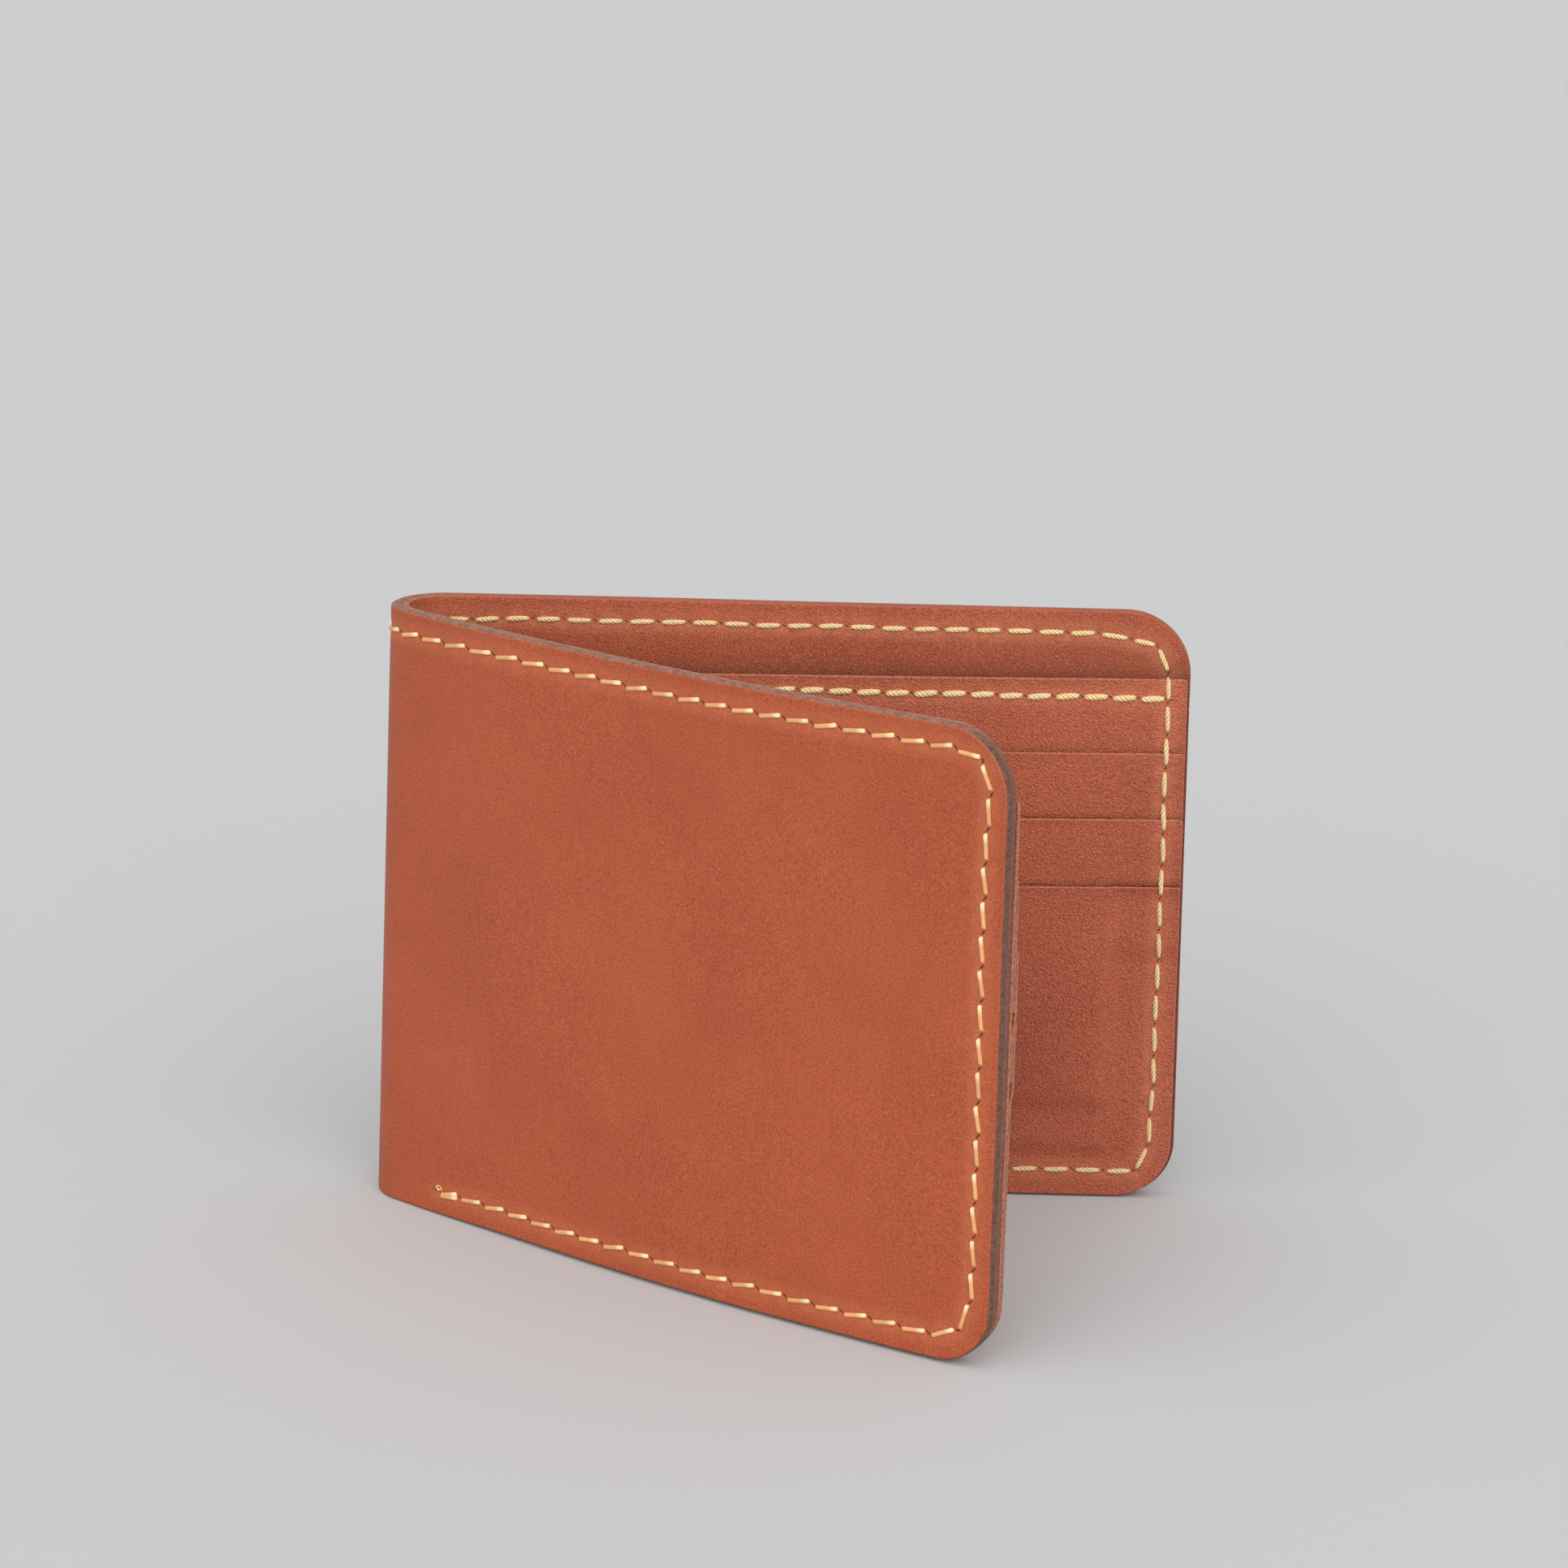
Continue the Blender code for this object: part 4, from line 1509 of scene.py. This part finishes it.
    # Painted shade: the slits get a near-black red for the shade inside the holes
    shaded_slits = nodes.new("ShaderNodeMix")
    shaded_slits.label = "Dark in the slits"
    shaded_slits.data_type = "RGBA"
    shaded_slits.inputs["B"].default_value = (0.105, 0.021, 0.010, 1.0)

    links.new(slit_masks[0].outputs["Result"], slits.inputs[0])
    links.new(slit_masks[1].outputs["Result"], slits.inputs[1])
    links.new(halo_masks[0].outputs["Result"], halos.inputs[0])
    links.new(halo_masks[1].outputs["Result"], halos.inputs[1])
    links.new(ruler.outputs["Vector"], halo_noise.inputs["Vector"])
    links.new(halos.outputs["Value"], halo_share.inputs[0])
    links.new(halo_noise.outputs["Fac"], halo_share.inputs[1])
    links.new(halo_share.outputs["Value"], halo_strength.inputs[0])
    links.new(halo_strength.outputs["Value"], haloed.inputs["Factor"])
    links.new(pored.outputs["Result"], haloed.inputs["A"])
    links.new(slits.outputs["Value"], shaded_slits.inputs["Factor"])
    links.new(haloed.outputs["Result"], shaded_slits.inputs["A"])

    # Burnished edge
    edge = nodes.new("ShaderNodeAttribute")
    edge.label = "Round the edge"
    edge.attribute_type = "GEOMETRY"
    edge.attribute_name = "edge"

    fibre = nodes.new("ShaderNodeTexNoise")
    fibre.label = "Fibres of the cut edge"
    fibre.inputs["Scale"].default_value = 1.7
    fibre.inputs["Detail"].default_value = 6.0
    fibre.inputs["Roughness"].default_value = 0.72

    fibre_ramp = nodes.new("ShaderNodeValToRGB")
    fibre_ramp.label = "Burnish colours"
    fibre_ramp.color_ramp.elements[0].position = 0.34
    fibre_ramp.color_ramp.elements[0].color = (*finish.edge_dark, 1.0)
    fibre_ramp.color_ramp.elements[1].position = 0.66
    fibre_ramp.color_ramp.elements[1].color = (*finish.edge_light, 1.0)

    edge_mask = nodes.new("ShaderNodeMapRange")
    edge_mask.label = "Where the edge is burnished"
    edge_mask.interpolation_type = "SMOOTHSTEP"
    edge_mask.inputs["From Min"].default_value = 0.35
    edge_mask.inputs["From Max"].default_value = 0.72

    hide_split = nodes.new("ShaderNodeSeparateXYZ")
    hide_split.label = "Along the hide"

    worn = nodes.new("ShaderNodeMapRange")
    worn.label = "Burnish worn off the rear half"
    worn.interpolation_type = "SMOOTHSTEP"
    worn.inputs["From Min"].default_value = -4.0
    worn.inputs["From Max"].default_value = 6.0
    worn.inputs["To Min"].default_value = finish.rear_burnish

    handled = nodes.new("ShaderNodeMapRange")
    handled.label = "Darker on the handled free edge"
    handled.interpolation_type = "SMOOTHSTEP"
    handled.inputs["From Min"].default_value = 117.0
    handled.inputs["From Max"].default_value = 124.5
    handled.inputs["To Min"].default_value = 1.0
    handled.inputs["To Max"].default_value = finish.free_edge

    rubbed = nodes.new("ShaderNodeVectorMath")
    rubbed.label = "Rubbed edge"
    rubbed.operation = "SCALE"

    burnish = nodes.new("ShaderNodeMath")
    burnish.label = "Strength of the burnish"
    burnish.operation = "MULTIPLY"

    # Painted shade: the leather is darkened just above the edge of the layer in front, for the shadow that
    # edge casts
    painted_shade = nodes.new("ShaderNodeAttribute")
    painted_shade.label = "Shade in the corner of the compartment"
    painted_shade.attribute_type = "GEOMETRY"
    painted_shade.attribute_name = "painted_shade"

    painted_shade_level = nodes.new("ShaderNodeMapRange")
    painted_shade_level.label = "Strength of the shade"
    painted_shade_level.inputs["To Min"].default_value = 1.0
    painted_shade_level.inputs["To Max"].default_value = 0.52

    shade_painted = nodes.new("ShaderNodeVectorMath")
    shade_painted.label = "Shaded leather"
    shade_painted.operation = "SCALE"

    edged = nodes.new("ShaderNodeMix")
    edged.label = "Face to burnished edge"
    edged.data_type = "RGBA"

    links.new(edge.outputs["Fac"], edge_mask.inputs["Value"])
    links.new(ruler.outputs["Vector"], fibre.inputs["Vector"])
    links.new(fibre.outputs["Fac"], fibre_ramp.inputs["Fac"])
    links.new(ruler.outputs["Vector"], hide_split.inputs["Vector"])
    links.new(hide_split.outputs["X"], worn.inputs["Value"])
    links.new(edge_mask.outputs["Result"], burnish.inputs[0])
    links.new(worn.outputs["Result"], burnish.inputs[1])
    links.new(painted_shade.outputs["Fac"], painted_shade_level.inputs["Value"])
    links.new(shaded_slits.outputs["Result"], shade_painted.inputs[0])
    links.new(painted_shade_level.outputs["Result"], shade_painted.inputs["Scale"])
    links.new(burnish.outputs["Value"], edged.inputs["Factor"])
    links.new(shade_painted.outputs["Vector"], edged.inputs["A"])
    links.new(hide_split.outputs["X"], handled.inputs["Value"])
    links.new(fibre_ramp.outputs["Color"], rubbed.inputs[0])
    links.new(handled.outputs["Result"], rubbed.inputs["Scale"])
    links.new(rubbed.outputs["Vector"], edged.inputs["B"])

    # Surface
    gloss = nodes.new("ShaderNodeMapRange")
    gloss.label = "Satin, uneven with the grain"
    gloss.inputs["To Min"].default_value = finish.roughness - 0.08
    gloss.inputs["To Max"].default_value = finish.roughness + 0.12

    pebble_bump = nodes.new("ShaderNodeBump")
    pebble_bump.label = "Pebbled grain"
    pebble_bump.invert = True
    pebble_bump.inputs["Strength"].default_value = 1.0
    pebble_bump.inputs["Distance"].default_value = finish.pebble_depth * MM

    crease_bump = nodes.new("ShaderNodeBump")
    crease_bump.label = "Hair creases"
    crease_bump.inputs["Strength"].default_value = 1.0
    crease_bump.inputs["Distance"].default_value = finish.pebble_depth * 1.1 * MM

    fine_bump = nodes.new("ShaderNodeBump")
    fine_bump.label = "Fine grain"
    fine_bump.inputs["Strength"].default_value = 1.0
    fine_bump.inputs["Distance"].default_value = 0.034 * MM

    slit_bump = nodes.new("ShaderNodeBump")
    slit_bump.label = "Slits cut in"
    slit_bump.invert = True
    slit_bump.inputs["Strength"].default_value = 0.8
    slit_bump.inputs["Distance"].default_value = 0.14 * MM

    skin = nodes.new("ShaderNodeBsdfPrincipled")
    skin.label = "Leather"
    skin.inputs["Specular IOR Level"].default_value = 0.36

    output = nodes.new("ShaderNodeOutputMaterial")
    output.label = "Leather surface"

    links.new(fine.outputs["Fac"], gloss.inputs["Value"])
    links.new(pebble.outputs["Distance"], pebble_bump.inputs["Height"])
    links.new(creases.outputs["Fac"], crease_bump.inputs["Height"])
    links.new(pebble_bump.outputs["Normal"], crease_bump.inputs["Normal"])
    links.new(fine.outputs["Fac"], fine_bump.inputs["Height"])
    links.new(crease_bump.outputs["Normal"], fine_bump.inputs["Normal"])
    links.new(slits.outputs["Value"], slit_bump.inputs["Height"])
    links.new(fine_bump.outputs["Normal"], slit_bump.inputs["Normal"])
    links.new(edged.outputs["Result"], skin.inputs["Base Color"])
    links.new(gloss.outputs["Result"], skin.inputs["Roughness"])
    links.new(slit_bump.outputs["Normal"], skin.inputs["Normal"])
    links.new(skin.outputs["BSDF"], output.inputs["Surface"])

    # Places in the node editor
    for group, members in (
        (place_frame, ((hide, -2400, 300), (ruler, -2200, 300), (stretch, -2000, 60))),
        (grain_frame, (
            (fine, -1700, 500), (pebble, -1700, 220), (creases, -1700, -40), (pores, -1700, -320),
            (pore_mask, -1480, -320),
        )),
        (colour_frame, (
            (clouds, -1700, 1340), (streaks, -1700, 1060), (specks, -1700, 780),
            (cloud_ramp, -1460, 1340), (streak_level, -1460, 1060), (streaked, -1200, 1240),
            (grain_level, -1460, 640), (grained, -1000, 1180), (pebble_level, -1460, 440),
            (pebbled, -900, 1340), (speck_mask, -1460, 860), (specked, -780, 1100),
            (pore_shade, -1000, 800), (pored, -560, 1040), (painted_shade, -340, 1180),
            (painted_shade_level, -140, 1180), (shade_painted, 20, 960),
        )),
        (seam_frame, (
            (slits, -700, -700), (halos, -700, -960), (halo_noise, -900, -1160),
            (halo_share, -520, -960), (haloed, -340, 900), (halo_strength, -340, -960),
            (shaded_slits, -120, 820),
        )),
        (edge_frame, (
            (edge, -900, 420), (fibre, -900, 240), (fibre_ramp, -700, 240), (edge_mask, -700, 480),
            (hide_split, -900, 40), (worn, -700, 40), (handled, -700, -180), (rubbed, -300, 240),
            (burnish, -500, 480), (edged, 100, 700),
        )),
        (surface_frame, (
            (gloss, 100, 400), (pebble_bump, -500, -60), (crease_bump, -300, -60),
            (fine_bump, -100, -60), (slit_bump, 100, -60), (skin, 360, 600), (output, 660, 600),
        )),
    ):
        for node, x, y in members:
            node.location = (x, y)
            node.parent = group
    return material


def thread_material(name: str, finish: ThreadFinish) -> bpy.types.Material:
    """Waxed sewing thread with fine fibres, a painted highlight on the upper or far end of each stitch and
    painted shade between its plies.

    Args:
        name: Name of the material.
        finish: Its colours.

    Returns:
        The material.
    """
    material = bpy.data.materials.new(name)
    material.use_nodes = True
    tree = material.node_tree
    nodes, links = tree.nodes, tree.links
    nodes.clear()

    colour_frame = nodes.new("NodeFrame")
    colour_frame.label = "Colour along the stitch"
    fibre_frame = nodes.new("NodeFrame")
    fibre_frame.label = "Twisted fibres"
    surface_frame = nodes.new("NodeFrame")
    surface_frame.label = "Surface"

    strand = nodes.new("ShaderNodeAttribute")
    strand.label = "Place on the strand"
    strand.attribute_type = "GEOMETRY"
    strand.attribute_name = "strand"

    split = nodes.new("ShaderNodeSeparateXYZ")
    split.label = "Along, round, shade"

    # Painted highlight: the upper or far end of each stitch is mixed towards the pale highlight colour
    end_highlight_mask = nodes.new("ShaderNodeMapRange")
    end_highlight_mask.label = "Pale end"
    end_highlight_mask.interpolation_type = "SMOOTHSTEP"
    end_highlight_mask.inputs["From Min"].default_value = 0.58
    end_highlight_mask.inputs["From Max"].default_value = 0.86
    end_highlight_mask.inputs["To Max"].default_value = finish.end_highlight

    blended = nodes.new("ShaderNodeMix")
    blended.label = "Body to pale end"
    blended.data_type = "RGBA"
    blended.inputs["A"].default_value = (*finish.body, 1.0)
    blended.inputs["B"].default_value = (*finish.bright, 1.0)

    shade = nodes.new("ShaderNodeMapRange")
    shade.label = "Each strand a little different"
    shade.inputs["To Min"].default_value = 0.88
    shade.inputs["To Max"].default_value = 1.06

    shaded = nodes.new("ShaderNodeVectorMath")
    shaded.label = "Shaded strand"
    shaded.operation = "SCALE"

    hide = nodes.new("ShaderNodeAttribute")
    hide.label = "Place on the wallet"
    hide.attribute_type = "GEOMETRY"
    hide.attribute_name = "layout"

    ruler = nodes.new("ShaderNodeVectorMath")
    ruler.label = "Millimetres"
    ruler.operation = "SCALE"
    ruler.inputs["Scale"].default_value = 1000.0

    slope = nodes.new("ShaderNodeMapping")
    slope.label = "Along the twist"
    slope.inputs["Rotation"].default_value = (0.0, 0.0, math.radians(24.0))
    slope.inputs["Scale"].default_value = (2.2, 13.0, 6.0)

    fibres = nodes.new("ShaderNodeTexNoise")
    fibres.label = "Fibres"
    fibres.inputs["Scale"].default_value = 1.0
    fibres.inputs["Detail"].default_value = 3.0
    fibres.inputs["Roughness"].default_value = 0.6

    fibre_mask = nodes.new("ShaderNodeMapRange")
    fibre_mask.label = "Dark between fibres"
    fibre_mask.inputs["From Min"].default_value = 0.44
    fibre_mask.inputs["From Max"].default_value = 0.26
    fibre_mask.inputs["To Max"].default_value = 0.45

    # Painted shade: the groove colour goes where a ply lies deep between the others, mixed with darker
    # fibre streaks from noise
    ply_crevice_shade = nodes.new("ShaderNodeMapRange")
    ply_crevice_shade.label = "Deep between the plies"
    ply_crevice_shade.interpolation_type = "SMOOTHSTEP"
    ply_crevice_shade.inputs["From Min"].default_value = 0.86
    ply_crevice_shade.inputs["From Max"].default_value = 0.60

    dark = nodes.new("ShaderNodeMath")
    dark.label = "Dark between plies and fibres"
    dark.operation = "MAXIMUM"

    fibred = nodes.new("ShaderNodeMix")
    fibred.label = "Fibres in the colour"
    fibred.data_type = "RGBA"
    fibred.inputs["B"].default_value = (*finish.groove, 1.0)

    fibre_bump = nodes.new("ShaderNodeBump")
    fibre_bump.label = "Raised fibres"
    fibre_bump.inputs["Strength"].default_value = 0.6
    fibre_bump.inputs["Distance"].default_value = 0.03 * MM

    wax = nodes.new("ShaderNodeBsdfPrincipled")
    wax.label = "Waxed thread"
    wax.inputs["Roughness"].default_value = finish.roughness
    wax.inputs["Specular IOR Level"].default_value = 0.45

    output = nodes.new("ShaderNodeOutputMaterial")
    output.label = "Thread surface"

    links.new(strand.outputs["Vector"], split.inputs["Vector"])
    links.new(split.outputs["X"], end_highlight_mask.inputs["Value"])
    links.new(split.outputs["Z"], shade.inputs["Value"])
    links.new(end_highlight_mask.outputs["Result"], blended.inputs["Factor"])
    links.new(blended.outputs["Result"], shaded.inputs[0])
    links.new(shade.outputs["Result"], shaded.inputs["Scale"])
    links.new(hide.outputs["Vector"], ruler.inputs[0])
    links.new(ruler.outputs["Vector"], slope.inputs["Vector"])
    links.new(slope.outputs["Vector"], fibres.inputs["Vector"])
    links.new(fibres.outputs["Fac"], fibre_mask.inputs["Value"])
    links.new(fibres.outputs["Fac"], fibre_bump.inputs["Height"])
    links.new(split.outputs["Y"], ply_crevice_shade.inputs["Value"])
    links.new(ply_crevice_shade.outputs["Result"], dark.inputs[0])
    links.new(fibre_mask.outputs["Result"], dark.inputs[1])
    links.new(dark.outputs["Value"], fibred.inputs["Factor"])
    links.new(shaded.outputs["Vector"], fibred.inputs["A"])
    links.new(fibred.outputs["Result"], wax.inputs["Base Color"])
    links.new(fibre_bump.outputs["Normal"], wax.inputs["Normal"])
    links.new(wax.outputs["BSDF"], output.inputs["Surface"])

    # Places in the node editor
    for group, members in (
        (colour_frame, (
            (strand, -1500, 300), (split, -1300, 300), (end_highlight_mask, -1060, 420), (blended, -820, 420),
            (shade, -1060, 160), (shaded, -600, 360),
        )),
        (fibre_frame, (
            (hide, -1500, -160), (ruler, -1300, -160), (slope, -1100, -160), (fibres, -880, -160),
            (fibre_mask, -660, -160), (ply_crevice_shade, -880, 40), (dark, -600, 40), (fibred, -380, 300),
            (fibre_bump, -380, -160),
        )),
        (surface_frame, ((wax, -100, 300), (output, 200, 300))),
    ):
        for node, x, y in members:
            node.location = (x, y)
            node.parent = group
    return material


def floor_material() -> bpy.types.Material:
    """A plain pale matt floor with a hardly visible unevenness.

    Returns:
        The material.
    """
    material = bpy.data.materials.new("pale_floor")
    material.use_nodes = True
    nodes, links = material.node_tree.nodes, material.node_tree.links
    nodes.clear()

    place = nodes.new("ShaderNodeTexCoord")
    place.label = "Place on the floor"
    place.location = (-800, 0)

    noise = nodes.new("ShaderNodeTexNoise")
    noise.label = "Faint unevenness"
    noise.location = (-600, 0)
    noise.inputs["Scale"].default_value = 3.0
    noise.inputs["Detail"].default_value = 2.0

    tone = nodes.new("ShaderNodeMapRange")
    tone.label = "Matt"
    tone.location = (-400, 0)
    tone.inputs["To Min"].default_value = 0.88
    tone.inputs["To Max"].default_value = 0.96

    paint = nodes.new("ShaderNodeBsdfPrincipled")
    paint.label = "Pale paint"
    paint.location = (-180, 0)
    paint.inputs["Base Color"].default_value = (0.585, 0.588, 0.590, 1.0)
    paint.inputs["Specular IOR Level"].default_value = 0.0

    output = nodes.new("ShaderNodeOutputMaterial")
    output.label = "Floor surface"
    output.location = (120, 0)

    links.new(place.outputs["Object"], noise.inputs["Vector"])
    links.new(noise.outputs["Fac"], tone.inputs["Value"])
    links.new(tone.outputs["Result"], paint.inputs["Roughness"])
    links.new(paint.outputs["BSDF"], output.inputs["Surface"])
    return material


def make_finishes() -> dict[str, bpy.types.Material]:
    """Makes each material once.

    Returns:
        The materials, by the name of their finish in the record.
    """
    leathers = {
        "shell_leather": SHELL_FINISH,
        "lining_leather": LINING_FINISH,
        "pocket_leather": POCKET_FINISH,
    }
    threads = {"outer_thread": OUTER_THREAD, "inner_thread": INNER_THREAD}
    made = {slot: leather_material(f"{slot}_finish", finish) for slot, finish in leathers.items()}
    made |= {slot: thread_material(f"{slot}_finish", finish) for slot, finish in threads.items()}
    return made


@dataclass
class Half:
    """One half of the wallet: its leather, its pockets and its stitches."""

    side: Side
    layout: Layout
    finishes: dict[str, bpy.types.Material]

    def __post_init__(self) -> None:
        """Prepares the layers, the leather and the sewing."""
        self.stack = Stack(self.side, self.layout)
        self.leather = Leather(self.side, self.layout, self.stack)
        self.sewing = Sewing(self.side, self.layout, self.stack)

    def dress(self, piece: bpy.types.Object, slot: str, nodes: list[str], bends: bool) -> None:
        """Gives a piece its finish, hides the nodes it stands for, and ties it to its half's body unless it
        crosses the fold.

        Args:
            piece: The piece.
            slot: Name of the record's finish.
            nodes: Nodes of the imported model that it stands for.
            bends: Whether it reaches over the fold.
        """
        piece.data.materials.append(self.finishes[slot])
        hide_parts(*nodes)
        before, middle, after = self.layout.fold_line()
        if not bends:
            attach(piece, f"{self.side.value}_half")
        elif self.side is Side.REAR:
            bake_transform(piece)
        else:
            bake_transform(piece)

    def _cuts(self) -> dict[str, Cut]:
        """Outline of each layer of the half.

        Returns:
            The cuts, by the name of the layer.
        """
        stack, layout, trim = self.stack, self.layout, TRIMS[self.side]
        body = Cut(
            -layout.apex, layout.half_length - trim.body, 0.0, layout.height, LOW_CORNER, HIGH_CORNER,
            crosses_fold=True, tuck=trim.body_tuck, lift=trim.lift,
        )
        leaf = Cut(
            -layout.apex, layout.half_length - trim.leaf, 0.25 * MM, stack.tops["divider"], LOW_CORNER,
            LEAF_CORNER, crosses_fold=True, slope=stack.slope, tuck=trim.leaf_tuck, lift=trim.lift,
        )
        pocket = replace(leaf, start=stack.pocket_start, end=leaf.end - 0.05 * MM, crosses_fold=False)
        cuts = {
            "shell": replace(body, outer_round=0.42 * MM, inner_round=0.05 * MM),
            "lining": replace(
                body, end=body.end - 0.08 * MM, bottom=0.05 * MM, top=body.top - 0.05 * MM,
                outer_round=0.06 * MM, inner_round=0.14 * MM,
            ),
            "divider": leaf,
            "lower": replace(pocket, bottom=0.3 * MM, top=stack.tops["lower"], near_corner=1.5 * MM),
        }
        for level, foot in stack.feet.items():
            top = stack.tops[level]
            cuts[level] = replace(
                pocket, bottom=foot, top=top, low_corner=0.0, near_corner=1.2 * MM, waist=stack.waist,
                ears=top - stack.ear, lift=0.0,
            )
        return cuts

    def build_leather(self) -> None:
        """Makes the shell, the lining, the divider and the pockets."""
        name = self.side.value
        for layer, cut in self._cuts().items():
            piece = self.leather.sheet(layer, cut)
            slot = f"{layer}_leather" if layer in ("shell", "lining") else "pocket_leather"
            pair = [f"{name}_{layer}", f"spine_{layer}"]
            nodes = pair if cut.crosses_fold else [f"{name}_{layer}_card_pocket"]
            self.dress(piece, slot, nodes, cut.crosses_fold)

    def build_stitches(self) -> None:
        """Sews the edge, the divider, the gutter and the feet of the T pockets."""
        name, sewing, stack = self.side.value, self.sewing, self.stack
        skip = 0 if self.side is Side.REAR else 1
        sides = ((Face.OUTER, sewing.outside, "outside"), (Face.INNER, sewing.inside, "inside"))
        for face, style, where in sides:
            piece = sewing.sew(f"{name}_{face.value}_stitches", stack.edge, style, face, skip=skip)
            nodes = [f"{name}_edge_thread_{where}", f"spine_edge_thread_{where}"]
            self.dress(piece, f"{face.value}_thread", nodes, True)
        level = stack.depths["divider"][1] - sewing.sunk
        divider = sewing.sew(f"{name}_divider_stitches", stack.divider, sewing.divider, Face.INNER, level)
        self.dress(divider, "inner_thread", [f"{name}_divider_thread", "spine_divider_thread"], True)
        gutter = sewing.sew(f"{name}_gutter_stitches", stack.gutter, sewing.gutter, Face.INNER)
        self.dress(gutter, "inner_thread", [f"{name}_gutter_thread"], False)
        for pocket, foot in stack.feet.items():
            seam = foot_seam((foot + 2.5 * MM) / MM)
            at_foot = stack.rest(pocket, np.array([0.06]), np.array([foot]))
            level = float(at_foot[0]) + stack.pocket_thickness
            stitches = sewing.sew(f"{name}_{pocket}_foot_stitches", seam, sewing.foot, Face.INNER, level)
            self.dress(stitches, "inner_thread", [f"{name}_{pocket}_pocket_foot_thread"], False)


@dataclass(frozen=True)
class Studio:
    """The floor, the lights and the camera. Lengths are in metres, angles in radians."""

    layout: Layout
    floor_reach: float = 9.0
    surround: float = 0.62
    camera_turn: float = math.radians(-0.496)
    camera_rise: float = math.radians(14.123)
    camera_roll: float = math.radians(1.317)
    camera_distance: float = 0.7438
    aim_along: float = 0.0493
    aim_height: float = 0.0626
    lens: float = 118.64

    def build_floor(self) -> None:
        """A wide pale floor under the standing edges."""
        reach = self.floor_reach
        corners = [(-reach, -reach), (reach, -reach), (reach, reach), (-reach, reach)]
        mesh = bpy.data.meshes.new("floor")
        mesh.from_pydata([(x, y, self.layout.floor) for x, y in corners], [], [(0, 1, 2, 3)])
        floor = bpy.data.objects.new("floor", mesh)
        bpy.context.scene.collection.objects.link(floor)
        floor.data.materials.append(floor_material())
        log.info("floor")

    def build_lights(self) -> None:
        """An even pale surround and three very soft lights: high, in front and on the right."""
        world = bpy.data.worlds.new("surround")
        world.use_nodes = True
        surround = world.node_tree.nodes["Background"]
        surround.inputs["Color"].default_value = (1.0, 1.0, 1.0, 1.0)
        surround.inputs["Strength"].default_value = self.surround
        bpy.context.scene.world = world
        self._soft_sun("high_light", Vector((0.25, 0.80, -0.85)), 1.05, 80.0)
        self._soft_sun("front_light", Vector((0.15, 1.00, -0.25)), 1.25, 70.0)
        self._soft_sun("right_light", Vector((-0.75, 0.70, -0.45)), 0.60, 60.0)
        log.info("lights")

    def _soft_sun(self, name: str, heading: Vector, strength: float, spread: float) -> None:
        """A wide, even light with soft shadows.

        Args:
            name: Its name.
            heading: The way it shines.
            strength: Its strength.
            spread: Its width in degrees.
        """
        light = bpy.data.lights.new(name, "SUN")
        light.energy = strength
        light.angle = math.radians(spread)
        lamp = bpy.data.objects.new(name, light)
        lamp.rotation_euler = heading.to_track_quat("-Z", "Y").to_euler()
        bpy.context.scene.collection.objects.link(lamp)

    def build_camera(self) -> None:
        """A long lens, a little above and in front of the wallet."""
        layout = self.layout
        turn, rise, roll = self.camera_turn, self.camera_rise, self.camera_roll
        level_reach = math.cos(rise)
        forward = Vector((math.sin(turn) * level_reach, math.cos(turn) * level_reach, -math.sin(rise)))
        level = Vector((math.cos(turn), -math.sin(turn), 0.0))
        above = level.cross(forward)
        right = level * math.cos(roll) + above * math.sin(roll)
        up = above * math.cos(roll) - level * math.sin(roll)
        aim = (layout.centre_x + self.aim_along, layout.centre_y, layout.floor + self.aim_height)
        lens = bpy.data.cameras.new("camera")
        lens.lens = self.lens
        lens.sensor_width = 36.0
        lens.clip_start = 0.01
        lens.clip_end = 100.0
        camera = bpy.data.objects.new("camera", lens)
        turned = Matrix((right, up, -forward)).transposed().to_4x4()
        turned.translation = Vector(aim) - forward * self.camera_distance
        camera.matrix_world = turned
        bpy.context.scene.collection.objects.link(camera)
        bpy.context.scene.camera = camera
        log.info("camera")


def main() -> None:
    """Builds the whole scene in order."""
    logging.basicConfig(level=logging.INFO, format="%(message)s")
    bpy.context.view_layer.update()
    bpy.context.scene.view_settings.view_transform = "Standard"
    layout = Layout.from_frame()
    finishes = make_finishes()
    for side in Side:
        half = Half(side, layout, finishes)
        half.build_leather()
        half.build_stitches()
    studio = Studio(layout)
    studio.build_floor()
    studio.build_lights()
    studio.build_camera()


if __name__ == "__main__":
    main()
